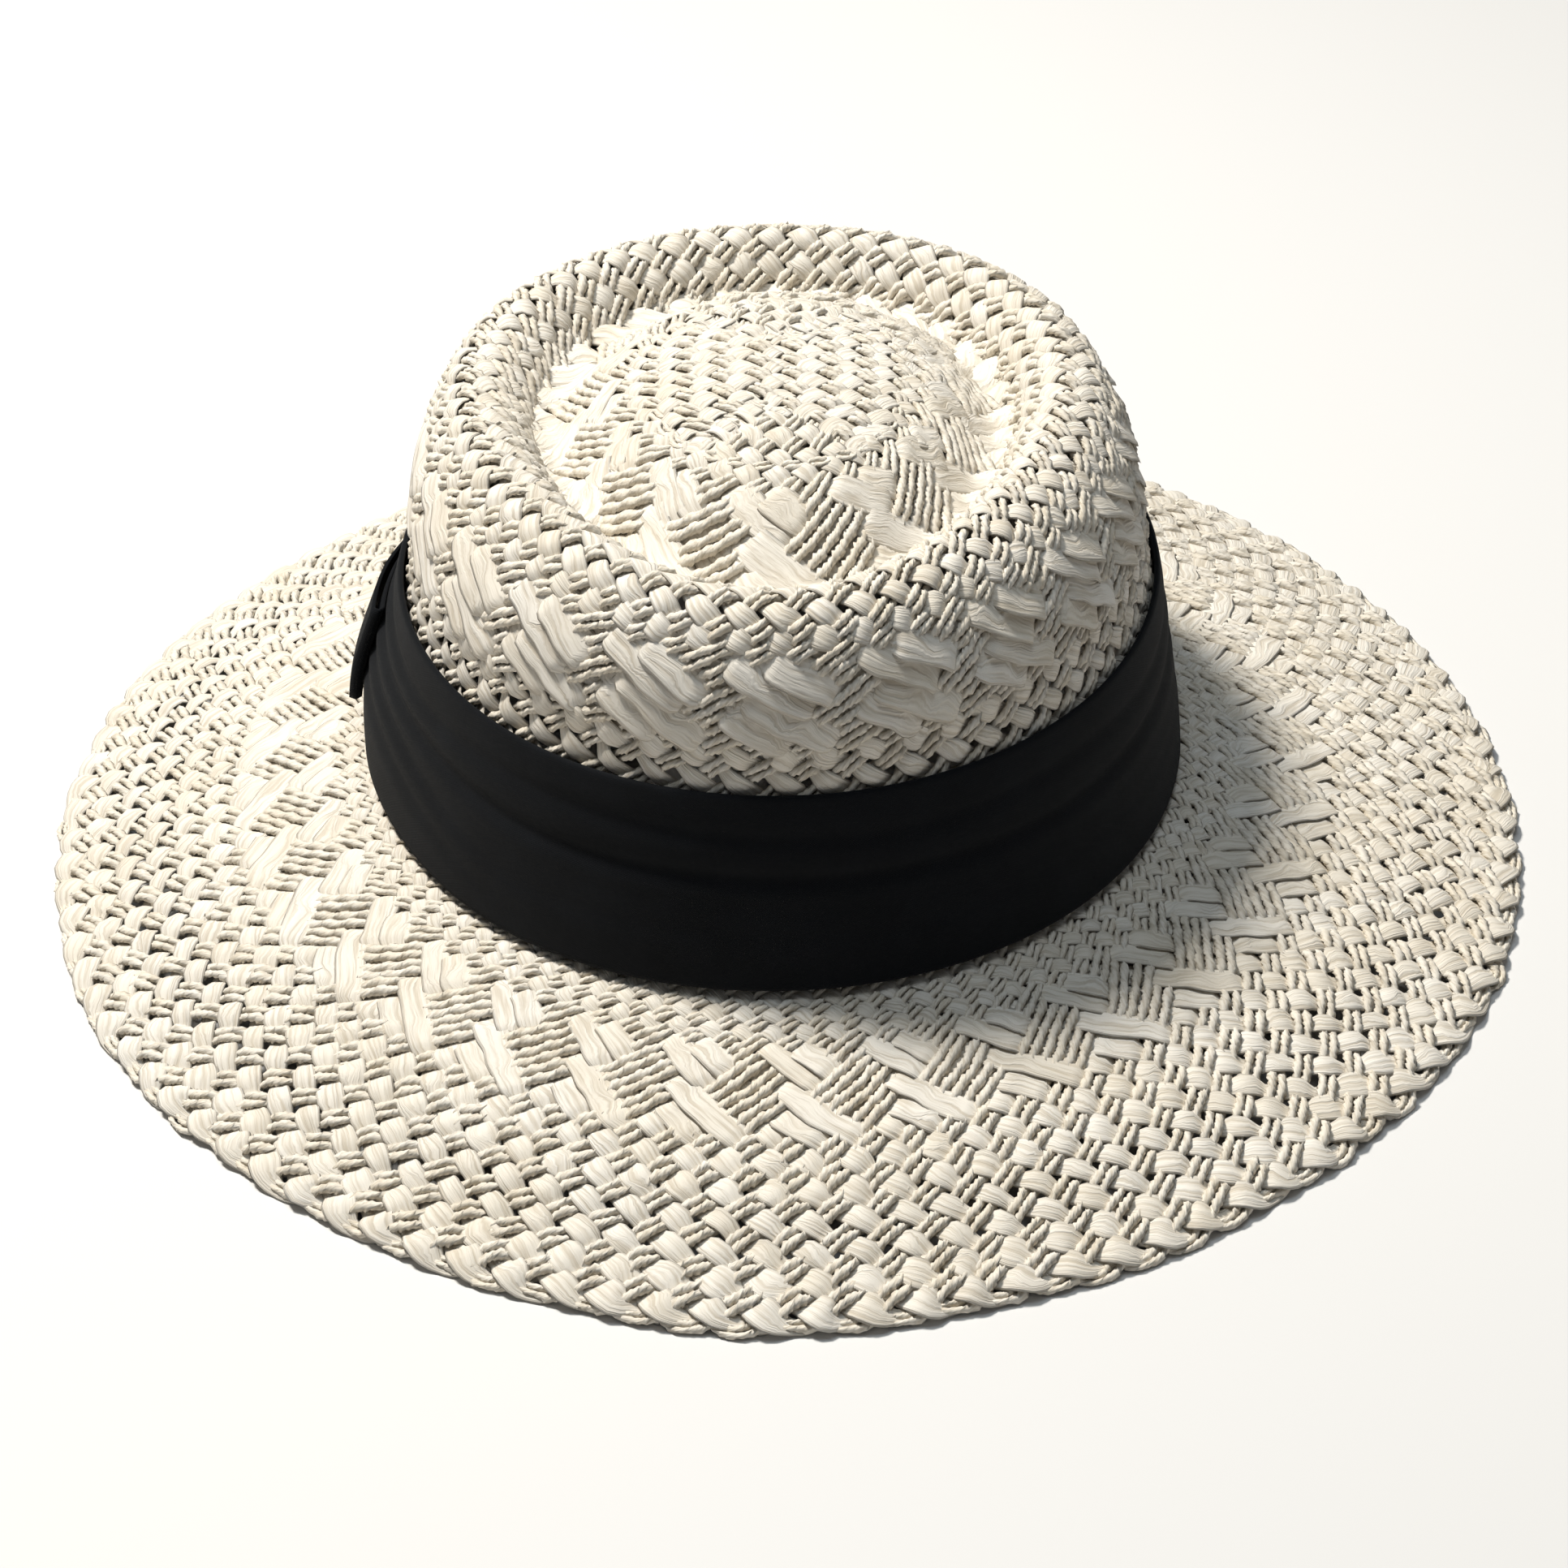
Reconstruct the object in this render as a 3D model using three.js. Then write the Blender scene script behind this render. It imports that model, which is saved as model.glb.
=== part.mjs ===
import * as THREE from "three";

// A woven straw hat: a hollow crown with a dished top, a sloping brim, a pleated cloth band and a flat bow.
// Millimetres, +Z up. The hat rests on its brim edge at z = 0 and its front faces -Y.
// Angles are in degrees from +X through the back (+Y), so the front is at 270 and the bow's side at 180.

const ANGLE_STEPS = 72;
const CROWN_PROFILE_STEPS = 19;
const BRIM_PROFILE_STEPS = 5;

const STRAW_THICKNESS = 2.4;
const CLOTH_THICKNESS = 1.6;
const SEAT_GAP = 0.3;

// Steps that a slope is measured over, and how often a search for a height halves its range.
const SLOPE_STEP = { place: 0.02, angle: 1 };
const HEIGHT_SEARCH_HALVINGS = 30;

// Outer surface of the crown, from the head line up over the crest and down into the dish, then up the dome.
// Each row is an oval section. shiftX moves it sideways, backFull widens its back and narrows its front,
// and frontDrop lowers its front.
const CROWN_SECTIONS = [
  { name: "foot", halfX: 86.2, halfY: 98.9, z: 26.2, shiftX: -1.5, backFull: -0.03, frontDrop: 0 },
  { name: "wall", halfX: 83.3, halfY: 95.8, z: 47, shiftX: -1, backFull: -0.015, frontDrop: 0 },
  { name: "bandTop", halfX: 80.4, halfY: 92.8, z: 69.5, shiftX: -0.9, backFull: 0, frontDrop: 0 },
  { name: "lowShoulder", halfX: 78.9, halfY: 92, z: 85, shiftX: -1.1, backFull: 0.03, frontDrop: 0.5 },
  { name: "shoulder", halfX: 75.2, halfY: 88.9, z: 98, shiftX: -1.5, backFull: 0.07, frontDrop: 1.5 },
  { name: "highShoulder", halfX: 69.2, halfY: 83.6, z: 106.8, shiftX: -2, backFull: 0.12, frontDrop: 2.5 },
  { name: "crest", halfX: 61.7, halfY: 77, z: 110, shiftX: -2.2, backFull: 0.16, frontDrop: 3 },
  { name: "crestInside", halfX: 55.6, halfY: 71.6, z: 106.9, shiftX: -2, backFull: 0.16, frontDrop: 3 },
  { name: "dishWall", halfX: 51.2, halfY: 67.2, z: 101, shiftX: -1.7, backFull: 0.14, frontDrop: 2 },
  { name: "valley", halfX: 47, halfY: 62.6, z: 97.4, shiftX: -1.4, backFull: 0.11, frontDrop: 1 },
  { name: "domeFoot", halfX: 42.5, halfY: 57.2, z: 101.6, shiftX: -1, backFull: 0.07, frontDrop: 0.5 },
  { name: "domeSide", halfX: 34, halfY: 46, z: 109.4, shiftX: -0.6, backFull: 0.05, frontDrop: 0 },
  { name: "domeShoulder", halfX: 22, halfY: 30, z: 114, shiftX: -0.3, backFull: 0.03, frontDrop: 0 },
  { name: "domeTop", halfX: 11, halfY: 15, z: 115.6, shiftX: -0.1, backFull: 0, frontDrop: 0 },
  { name: "apex", halfX: 0, halfY: 0, z: 116, shiftX: 0, backFull: 0, frontDrop: 0 },
  { name: "overApex", halfX: -11, halfY: -15, z: 115.6, shiftX: 0, backFull: 0, frontDrop: 0 },
];
const APEX_ROW = CROWN_SECTIONS.length - 2;
const BAND_TOP_ROW = CROWN_SECTIONS.findIndex((row) => row.name === "bandTop");

// Upper surface of the brim, from the head line out to the edge. shiftY moves a section to the back.
const BRIM_SECTIONS = [
  { name: "headLine", halfX: 83.2, halfY: 96.3, z: 26.5, shiftY: 0 },
  { name: "inner", halfX: 111.5, halfY: 122.8, z: 19.2, shiftY: 0.4 },
  { name: "outer", halfX: 138.5, halfY: 149.5, z: 11, shiftY: 0.7 },
  { name: "edge", halfX: 165.4, halfY: 176.1, z: 2.4, shiftY: 1.1 },
];
// The turned-back edge lies flat on the table over this width.
const EDGE_FLAT_WIDTH = 2.5;
// Places where the edge leaves the oval, by how much and over which half spread of angle.
const EDGE_PULLS = [
  { name: "backLeft", angle: 130, spread: 36, inward: 5 },
  { name: "frontLeft", angle: 234, spread: 30, inward: 2.2 },
  { name: "frontPoint", angle: 269, spread: 18, inward: -2.2 },
  { name: "frontRight", angle: 306, spread: 30, inward: 1.6 },
];

// The band's folds, as shares of its height from its foot. Each fold swells by rise at its middle,
// and the crease between two folds lies at the base thickness.
const BAND_FOOT_CLEARANCE = 0.4;
const BAND_SEAT_GAP = 0.5;
const BAND_TOP_HEIGHT = CROWN_SECTIONS[BAND_TOP_ROW].z;
const BAND_FOLDS = [
  { name: "lowerFold", from: 0, to: 0.58, rise: 0.7 },
  { name: "middleFold", from: 0.58, to: 0.78, rise: 0.6 },
  { name: "upperFold", from: 0.78, to: 1, rise: 0.6 },
];
const BAND_RINGS_PER_FOLD = 3;
const INNER_BAND_STEPS = 4;
// The foot of the band stands off the crown a little all round.
const BAND_FOOT_FLARE = 0.9;
// Beside the bow, where its folds are drawn together, the band stands away from the crown.
const BAND_GATHER = { angle: 172, spread: 42 };
const BAND_GATHER_LIFTS = [
  { name: "foot", lift: 3.6 },
  { name: "low", lift: 5.2 },
  { name: "middle", lift: 4.6 },
  { name: "high", lift: 1.4 },
  { name: "top", lift: 0.2 },
];

// The bow lies flat on the band. Its two loops reach either way along the band from its middle.
const BOW = { angle: 150, halfSpan: 31, bottom: 34, top: 57, thickness: 3 };
// The wrap draws the bow in by this much at its top and its bottom, over this share of each loop.
const BOW_PINCH = 3;
const BOW_PINCH_SHARE = 0.34;
const BOW_SECTIONS = 16;
const BOW_EDGE_ROUNDING = 0.9;
// The wrap is a strip round the bow's middle, whose ends turn in over the bow's top and bottom.
const WRAP_HALF_WIDTH = 7;
const WRAP_LIP_CLEARANCE = 0.4;

const STRAW = { color: 0xdcd3bd, roughness: 0.85, metalness: 0 };
const CLOTH = { color: 0x17191d, roughness: 0.9, metalness: 0 };

// One row of a table between two of its rows, every number following a smooth curve through its neighbours.
function smoothRow(rows, place) {
  const last = rows.length - 1;
  const from = Math.min(Math.floor(place), last - 1);
  const part = place - from;
  const neighbours = [-1, 0, 1, 2].map((step) => rows[THREE.MathUtils.clamp(from + step, 0, last)]);
  const { name, ...sizes } = rows[0];
  const row = {};
  for (const column of Object.keys(sizes)) {
    const [p0, p1, p2, p3] = neighbours.map((neighbour) => neighbour[column]);
    const slopeFrom = (p2 - p0) / 2;
    const slopeTo = (p3 - p1) / 2;
    const bend = 3 * (p2 - p1) - 2 * slopeFrom - slopeTo;
    const twist = 2 * (p1 - p2) + slopeFrom + slopeTo;
    row[column] = p1 + part * (slopeFrom + part * (bend + part * twist));
  }
  return row;
}

// A smooth hump, 1 at its angle and 0 past its spread.
function humpAt(angle, hump) {
  const away = Math.abs(((angle - hump.angle + 540) % 360) - 180);
  return away < hump.spread ? (1 + Math.cos((Math.PI * away) / hump.spread)) / 2 : 0;
}

function crownPoint(place, angle) {
  const row = smoothRow(CROWN_SECTIONS, place);
  const across = Math.cos(THREE.MathUtils.degToRad(angle));
  const along = Math.sin(THREE.MathUtils.degToRad(angle));
  const frontShare = Math.max(0, -along) ** 2;
  return new THREE.Vector3(
    row.shiftX + row.halfX * across * (1 + row.backFull * along),
    row.halfY * along,
    row.z - row.frontDrop * frontShare,
  );
}

function brimPoint(place, angle) {
  const row = smoothRow(BRIM_SECTIONS, place);
  const outwardShare = place / (BRIM_SECTIONS.length - 1);
  let inward = 0;
  for (const pull of EDGE_PULLS) {
    inward += pull.inward * humpAt(angle, pull) * outwardShare ** 2;
  }
  const across = Math.cos(THREE.MathUtils.degToRad(angle));
  const along = Math.sin(THREE.MathUtils.degToRad(angle));
  return new THREE.Vector3(
    (row.halfX - inward) * across,
    (row.halfY - inward) * along + row.shiftY,
    row.z,
  );
}

// Direction square to a surface given by place along its profile and angle: outwards where the profile
// climbs, as on the crown's wall, and downwards where it runs outwards, as on the brim.
function surfaceNormal(surface, place, angle, lastPlace) {
  const low = Math.max(place - SLOPE_STEP.place, 0);
  const high = Math.min(place + SLOPE_STEP.place, lastPlace);
  const alongProfile = surface(high, angle).sub(surface(low, angle));
  const roundHat = surface(place, angle + SLOPE_STEP.angle).sub(surface(place, angle - SLOPE_STEP.angle));
  return roundHat.cross(alongProfile).normalize();
}

// Places from the first row of a table to its last, evenly spaced.
function evenPlaces(lastPlace, steps) {
  return Array.from({ length: steps + 1 }, (_, step) => (lastPlace * step) / steps);
}

function ringOf(pointAt) {
  return Array.from({ length: ANGLE_STEPS }, (_, step) => pointAt((360 * step) / ANGLE_STEPS));
}

// A closed body from rings of points, each ring joined to the next. A ring of one point closes an end,
// and a looped body joins its last ring to its first.
function bodyFromRings(rings, looped = false) {
  const positions = [];
  const starts = rings.map((ring) => {
    const start = positions.length / 3;
    ring.forEach((point) => positions.push(point.x, point.y, point.z));
    return start;
  });
  const indices = [];
  const joints = looped ? rings.length : rings.length - 1;
  for (let joint = 0; joint < joints; joint += 1) {
    const next = (joint + 1) % rings.length;
    const steps = Math.max(rings[joint].length, rings[next].length);
    for (let step = 0; step < steps; step += 1) {
      const near = (ring, offset) => starts[ring] + ((step + offset) % rings[ring].length);
      if (rings[next].length > 1) {
        indices.push(near(joint, 0), near(next, 0), near(next, 1));
      }
      if (rings[joint].length > 1) {
        indices.push(near(joint, 0), near(next, 1), near(joint, 1));
      }
    }
  }
  const geometry = new THREE.BufferGeometry();
  geometry.setAttribute("position", new THREE.Float32BufferAttribute(positions, 3));
  geometry.setIndex(indices);
  geometry.computeVertexNormals();
  return geometry;
}

// A closed strip from its cross sections, with a flat cap at each end.
function bodyFromSections(sections) {
  const centreOf = (section) =>
    section.reduce((sum, point) => sum.add(point), new THREE.Vector3()).divideScalar(section.length);
  return bodyFromRings([[centreOf(sections[0])], ...sections, [centreOf(sections.at(-1))]]);
}

// Height of the brim's upper surface under a point near the head line.
function brimHeightUnder(point) {
  const [inside, outside] = BRIM_SECTIONS;
  const angle = Math.atan2(point.y, point.x);
  const reach = Math.hypot(point.x, point.y);
  const across = Math.cos(angle);
  const along = Math.sin(angle);
  const ovalReach = (row) => 1 / Math.hypot(across / row.halfX, along / row.halfY);
  const share = (reach - ovalReach(inside)) / (ovalReach(outside) - ovalReach(inside));
  return THREE.MathUtils.lerp(inside.z, outside.z, share);
}

// The crown: its outer surface down to the foot, then its inner surface back up to the apex.
function makeCrown() {
  const places = evenPlaces(APEX_ROW, CROWN_PROFILE_STEPS).slice(0, -1);
  const innerPoint = (place, angle) => {
    const outwards = surfaceNormal(crownPoint, place, angle, APEX_ROW);
    return crownPoint(place, angle).addScaledVector(outwards, -STRAW_THICKNESS);
  };
  const seated = (point, place) => {
    if (place === 0) {
      point.z = brimHeightUnder(point) + SEAT_GAP;
    }
    return point;
  };
  const outerRings = places.map((place) => ringOf((angle) => seated(crownPoint(place, angle), place)));
  const innerRings = places.map((place) => ringOf((angle) => seated(innerPoint(place, angle), place)));
  const outerApex = crownPoint(APEX_ROW, 0);
  const innerApex = outerApex.clone().setZ(outerApex.z - STRAW_THICKNESS);
  return bodyFromRings([[outerApex], ...outerRings.reverse(), ...innerRings, [innerApex]]);
}

// The brim: its upper surface outwards, down its edge to the flat that rests on the table, and back under.
function makeBrim() {
  const lastPlace = BRIM_SECTIONS.length - 1;
  const places = evenPlaces(lastPlace, BRIM_PROFILE_STEPS);
  const underPoint = (place, angle) => {
    const downwards = surfaceNormal(brimPoint, place, angle, lastPlace);
    return brimPoint(place, angle).addScaledVector(downwards, STRAW_THICKNESS);
  };
  const upperRings = places.map((place) => ringOf((angle) => brimPoint(place, angle)));
  const edgeBottom = ringOf((angle) => brimPoint(lastPlace, angle).setZ(0));
  const flatInside = edgeBottom.map((point) => point.clone().setLength(point.length() - EDGE_FLAT_WIDTH));
  const underRings = places.slice(0, -1).map((place) => ringOf((angle) => underPoint(place, angle)));
  return bodyFromRings([...upperRings, edgeBottom, flatInside, ...underRings.reverse()], true);
}

// Level outward direction of the crown's wall at an angle.
function wallDirection(angle) {
  return surfaceNormal(crownPoint, 1, angle, APEX_ROW).setZ(0).normalize();
}

// A point on the crown's wall at a height under the band's top.
function wallPointAtHeight(height, angle) {
  let low = 0;
  let high = BAND_TOP_ROW;
  for (let halving = 0; halving < HEIGHT_SEARCH_HALVINGS; halving += 1) {
    const middle = (low + high) / 2;
    if (crownPoint(middle, angle).z < height) {
      low = middle;
    } else {
      high = middle;
    }
  }
  return crownPoint(low, angle).setZ(height);
}

// Distance of the band's inner side from the crown's wall, more beside the bow.
function bandStandOff(share, angle) {
  const { lift } = smoothRow(BAND_GATHER_LIFTS, share * (BAND_GATHER_LIFTS.length - 1));
  return BAND_SEAT_GAP + BAND_FOOT_FLARE * (1 - share) ** 3 + lift * humpAt(angle, BAND_GATHER);
}

function bandHeight(share, angle) {
  const footPoint = wallPointAtHeight(BRIM_SECTIONS[0].z, angle);
  const foot = brimHeightUnder(footPoint) + BAND_FOOT_CLEARANCE;
  return THREE.MathUtils.lerp(foot, BAND_TOP_HEIGHT, share);
}

function bandPoint(share, angle, depth) {
  const wall = wallPointAtHeight(bandHeight(share, angle), angle);
  return wall.addScaledVector(wallDirection(angle), bandStandOff(share, angle) + depth);
}

function foldRise(share) {
  const fold = BAND_FOLDS.find((row) => share >= row.from && share <= row.to);
  return fold.rise * Math.sin((Math.PI * (share - fold.from)) / (fold.to - fold.from));
}

// The band: its folded outer side from top to foot, then its plain inner side back up.
function makeBand() {
  const outerShares = BAND_FOLDS.flatMap((fold) =>
    Array.from({ length: BAND_RINGS_PER_FOLD }, (_, step) =>
      THREE.MathUtils.lerp(fold.from, fold.to, step / BAND_RINGS_PER_FOLD)),
  );
  outerShares.push(1);
  const outerRings = outerShares.map((share) =>
    ringOf((angle) => bandPoint(share, angle, CLOTH_THICKNESS + foldRise(share))));
  const innerShares = evenPlaces(1, INNER_BAND_STEPS);
  const innerRings = innerShares.map((share) => ringOf((angle) => bandPoint(share, angle, 0)));
  return bodyFromRings([...outerRings.reverse(), ...innerRings], true);
}

// A point on or above the band, at a height and a distance out from the band's creases.
function overBandPoint(angle, height, lift) {
  const foot = bandHeight(0, angle);
  const share = (height - foot) / (BAND_TOP_HEIGHT - foot);
  return bandPoint(share, angle, CLOTH_THICKNESS + Math.max(...BAND_FOLDS.map((fold) => fold.rise)) + lift);
}

// The bow: sections along the band, each a flat box with rounded outer corners, pinched at its middle.
function makeBow() {
  const sections = Array.from({ length: BOW_SECTIONS + 1 }, (_, step) => {
    const share = 1 - (2 * step) / BOW_SECTIONS;
    const angle = BOW.angle + share * BOW.halfSpan;
    const pinch = BOW_PINCH * (1 - THREE.MathUtils.smoothstep(Math.abs(share), BOW_PINCH_SHARE, 1));
    const bottom = BOW.bottom + pinch;
    const top = BOW.top - pinch;
    const inside = SEAT_GAP;
    const outside = SEAT_GAP + BOW.thickness;
    const middle = (bottom + top) / 2;
    return [
      overBandPoint(angle, bottom, inside),
      overBandPoint(angle, middle, inside),
      overBandPoint(angle, top, inside),
      overBandPoint(angle, top, outside - BOW_EDGE_ROUNDING),
      overBandPoint(angle, top - BOW_EDGE_ROUNDING, outside),
      overBandPoint(angle, middle, outside),
      overBandPoint(angle, bottom + BOW_EDGE_ROUNDING, outside),
      overBandPoint(angle, bottom, outside - BOW_EDGE_ROUNDING),
    ];
  });
  return bodyFromSections(sections);
}

// The wrap: a strip from the band over the bow's bottom, up across its face and in over its top.
function makeWrap() {
  const low = BOW.bottom + BOW_PINCH - SEAT_GAP;
  const high = BOW.top - BOW_PINCH + SEAT_GAP;
  const face = SEAT_GAP + BOW.thickness + SEAT_GAP;
  const route = [
    { height: low, lift: WRAP_LIP_CLEARANCE, outwardHeight: -1, outwardLift: 0 },
    { height: low, lift: face, outwardHeight: -1, outwardLift: 1 },
    { height: (low + high) / 2, lift: face, outwardHeight: 0, outwardLift: 1 },
    { height: high, lift: face, outwardHeight: 1, outwardLift: 1 },
    { height: high, lift: WRAP_LIP_CLEARANCE, outwardHeight: 1, outwardLift: 0 },
  ];
  const reach = bandPoint(0.5, BOW.angle, 0).setZ(0).length();
  const halfAngle = THREE.MathUtils.radToDeg(WRAP_HALF_WIDTH / reach);
  const sections = route.map((stop) => {
    const corner = (side, depth) =>
      overBandPoint(
        BOW.angle + side * halfAngle,
        stop.height + stop.outwardHeight * depth,
        stop.lift + stop.outwardLift * depth,
      );
    return [
      corner(-1, 0),
      corner(0, 0),
      corner(1, 0),
      corner(1, CLOTH_THICKNESS),
      corner(0, CLOTH_THICKNESS),
      corner(-1, CLOTH_THICKNESS),
    ];
  });
  return bodyFromSections(sections);
}

function namedPiece(name, geometry, look) {
  const mesh = new THREE.Mesh(geometry, new THREE.MeshStandardMaterial(look));
  mesh.name = name;
  return mesh;
}

const hat = new THREE.Group();
hat.add(
  namedPiece("crown", makeCrown(), STRAW),
  namedPiece("brim", makeBrim(), STRAW),
  namedPiece("band", makeBand(), CLOTH),
  namedPiece("bow", makeBow(), CLOTH),
  namedPiece("bow_wrap", makeWrap(), CLOTH),
);

export default hat;
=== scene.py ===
import math

import bpy
import numpy as np
from mathutils import Matrix, Vector
from mathutils.bvhtree import BVHTree


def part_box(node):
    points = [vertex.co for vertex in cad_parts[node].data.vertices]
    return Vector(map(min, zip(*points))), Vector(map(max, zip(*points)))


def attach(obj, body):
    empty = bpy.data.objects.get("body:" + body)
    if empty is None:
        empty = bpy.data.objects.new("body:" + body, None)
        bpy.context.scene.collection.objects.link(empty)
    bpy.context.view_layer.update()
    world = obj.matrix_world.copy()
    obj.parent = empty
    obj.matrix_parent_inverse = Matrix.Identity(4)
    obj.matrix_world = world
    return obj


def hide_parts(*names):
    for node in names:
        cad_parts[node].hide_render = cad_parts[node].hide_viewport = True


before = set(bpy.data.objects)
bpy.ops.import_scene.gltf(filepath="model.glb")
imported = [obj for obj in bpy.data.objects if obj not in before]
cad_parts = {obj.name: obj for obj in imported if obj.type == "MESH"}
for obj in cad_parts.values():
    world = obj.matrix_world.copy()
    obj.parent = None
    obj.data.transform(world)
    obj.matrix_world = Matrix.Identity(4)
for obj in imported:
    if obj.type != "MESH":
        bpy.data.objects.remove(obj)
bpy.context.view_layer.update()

# Brim
# The brim is one woven ring of bleached straw. Flat ribbons spiral outwards one way and pairs of
# twisted cords the other way, over one and under one, with a ring of longer floats near the band.
# At the edge every strand turns back and is tucked under.
MM = 0.001
DRAWS = np.random.default_rng(11)
STRAW_WALL = 2.4 * MM
BRIM_STRANDS = 102
# Columns of the woven surfaces round the hat, and rows of the brim's.
COLUMNS = 288
BRIM_ROWS = 96
# Distance of the first level from the brim's inner edge, and of the outermost strands from its outer edge.
BRIM_START = 0.3 * MM
EDGE_MARGIN = 1.5 * MM
# How many levels past the last one the ribbons and the cords reach before they turn back.
RIBBON_OVERHANG = 0.5
CORD_OVERHANG = 0.85
# The brim's edge stands on its own strands, so the middle of the weave rises a little there.
EDGE_RISE = 0.35 * MM
EDGE_RISE_SHARE = 0.85
SAMPLES_PER_LEVEL = 4

# Which strand lies on top at each level of a float ring: ribbon (R) or cords (C), for three ribbons in turn.
FLOAT_CHART = ("RRRCCCR", "RRCCCRR", "CCCRRRR")
PLAIN = ()
# Crossing levels of the brim from the band outwards: how many, how far apart in millimetres, which chart is
# woven there, and the widths of ribbons and cords as shares of the strand spacing.
BRIM_ZONES = [
    dict(name="under the band", levels=2, step=2.6, chart=PLAIN, ribbon=1.15, cord=0.40),
    dict(name="inner plain", levels=6, step=2.35, chart=PLAIN, ribbon=1.2, cord=0.42),
    dict(name="float ring", levels=7, step=3.55, chart=FLOAT_CHART, ribbon=1.4, cord=0.46, tilt=0.12),
    dict(name="outer plain", levels=4, step=3.75, chart=PLAIN, ribbon=1.18, cord=0.44),
    dict(name="outer open", levels=5, step=3.75, chart=PLAIN, ribbon=0.97, cord=0.37),
    dict(name="edge", levels=3, step=3.5, chart=PLAIN, ribbon=1.3, cord=0.42),
]


def skin_of(node):
    """Search tree over the faces of a CAD node."""
    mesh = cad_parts[node].data
    return BVHTree.FromPolygons([v.co for v in mesh.vertices], [p.vertices for p in mesh.polygons])


def hit(skin, start, direction):
    """First point of a skin along a ray, as an array."""
    return np.array(skin.ray_cast(Vector(start), Vector(direction))[0])


def lengths_along(points):
    """Distance along a line of points from its start to each of them."""
    return np.concatenate([[0], np.cumsum(np.linalg.norm(np.diff(points, axis=0), axis=1))])


def even_angles(count):
    """Angles that divide a full turn evenly, from 0."""
    return np.linspace(0, 2 * math.pi, count, endpoint=False)


def even_azimuths(ring, count):
    """Azimuths that divide a closed ring of points evenly by length, from +X round through +Y."""
    closed = np.vstack([ring, ring[:1]])
    reach = lengths_along(closed)
    azimuths = np.linspace(0, 2 * math.pi, len(closed))
    return np.interp(np.arange(count) / count * reach[-1], reach, azimuths)


def heading(azimuth):
    """Level direction out from the hat's axis, for one azimuth or an array of them."""
    return np.stack([np.cos(azimuth), np.sin(azimuth), np.zeros_like(azimuth)], -1)


def eased(share):
    """Goes smoothly from 0 to 1 as the share does."""
    share = np.clip(share, 0, 1)
    return share * share * (3 - 2 * share)


def evened(rows, passes):
    """Rows of points with the steps between them evened out. The first and the last row stay."""
    for _ in range(passes):
        rows[1:-1] = (rows[:-2] + 2 * rows[1:-1] + rows[2:]) / 4
    return rows


def smoothed(grid, passes):
    """A grid with its bumps evened out, round the hat and along its rows."""
    for _ in range(passes):
        grid = evened((np.roll(grid, 1, 1) + 2 * grid + np.roll(grid, -1, 1)) / 4, 1)
    return grid


def unit(vectors):
    """Vectors of the same directions, each of length 1."""
    return vectors / np.linalg.norm(vectors, axis=-1, keepdims=True)


# A length under this one counts as none.
TINY = 1e-12


class Sheet:
    """A smooth surface as a grid: rows from its first edge to its last, columns once round the hat.
    It lies at a depth under the grid that it is made from."""

    def __init__(self, grid, depth):
        normals = np.cross(np.gradient(grid, axis=0), np.roll(grid, -1, 1) - np.roll(grid, 1, 1))
        lengths = np.linalg.norm(normals, axis=2, keepdims=True)
        upright = np.array([0.0, 0.0, 1.0])
        self.normals = np.where(lengths > TINY, normals / np.maximum(lengths, TINY), upright)
        self.grid = grid - depth * self.normals
        self.ring_lengths = np.linalg.norm(np.roll(grid, -1, 1) - grid, axis=2).sum(1)
        steps = np.linalg.norm(np.diff(grid, axis=0), axis=2).mean(1)
        self.reach = np.concatenate([[0], np.cumsum(steps)])

    def at(self, turn, share):
        """Points and normals at a turn round the hat (0 to 1) and a share of the way along the rows."""
        rows, columns = self.grid.shape[:2]
        row = np.clip(share, 0, 1) * (rows - 1)
        column = np.mod(turn, 1) * columns
        row_low = np.minimum(row.astype(int), rows - 2)
        column_low = column.astype(int) % columns
        column_high = (column_low + 1) % columns
        row_part = (row - row_low)[..., None]
        column_part = (column - column.astype(int))[..., None]

        def blend(field):
            near = field[row_low, column_low] * (1 - row_part) + field[row_low + 1, column_low] * row_part
            far = field[row_low, column_high] * (1 - row_part) + field[row_low + 1, column_high] * row_part
            return near * (1 - column_part) + far * column_part

        return blend(self.grid), unit(blend(self.normals))

    def share_at(self, reach):
        """Share of the way along the rows at a distance from the first row."""
        return np.interp(reach, self.reach, np.linspace(0, 1, len(self.reach)))


brim_skin = skin_of("brim")
# Heights at which the brim's inner and outer edge are felt for, and how far inside them its top is taken.
HEAD_LINE_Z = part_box("brim")[1].z - 1.0 * MM
EDGE_Z = 1.0 * MM
BRIM_MARGIN = 0.2 * MM
# A distance well outside the hat, from which rays start.
FAR_OUT = 0.5


def brim_reach(azimuth):
    """Distance of the brim's inner and outer edge from the axis at an azimuth."""
    out = heading(azimuth)
    inner = hit(brim_skin, (0, 0, HEAD_LINE_Z), out)
    outer = hit(brim_skin, out * FAR_OUT + (0, 0, EDGE_Z), -out)
    return np.hypot(inner[0], inner[1]), np.hypot(outer[0], outer[1])


def brim_column(azimuth):
    """Points on top of the brim at an azimuth, from its inner edge outwards."""
    inner, outer = brim_reach(azimuth)
    reaches = np.linspace(inner + BRIM_MARGIN, outer - BRIM_MARGIN, BRIM_ROWS)
    out = heading(azimuth)
    return [hit(brim_skin, out * reach + (0, 0, FAR_OUT), (0, 0, -1)) for reach in reaches]


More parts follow.
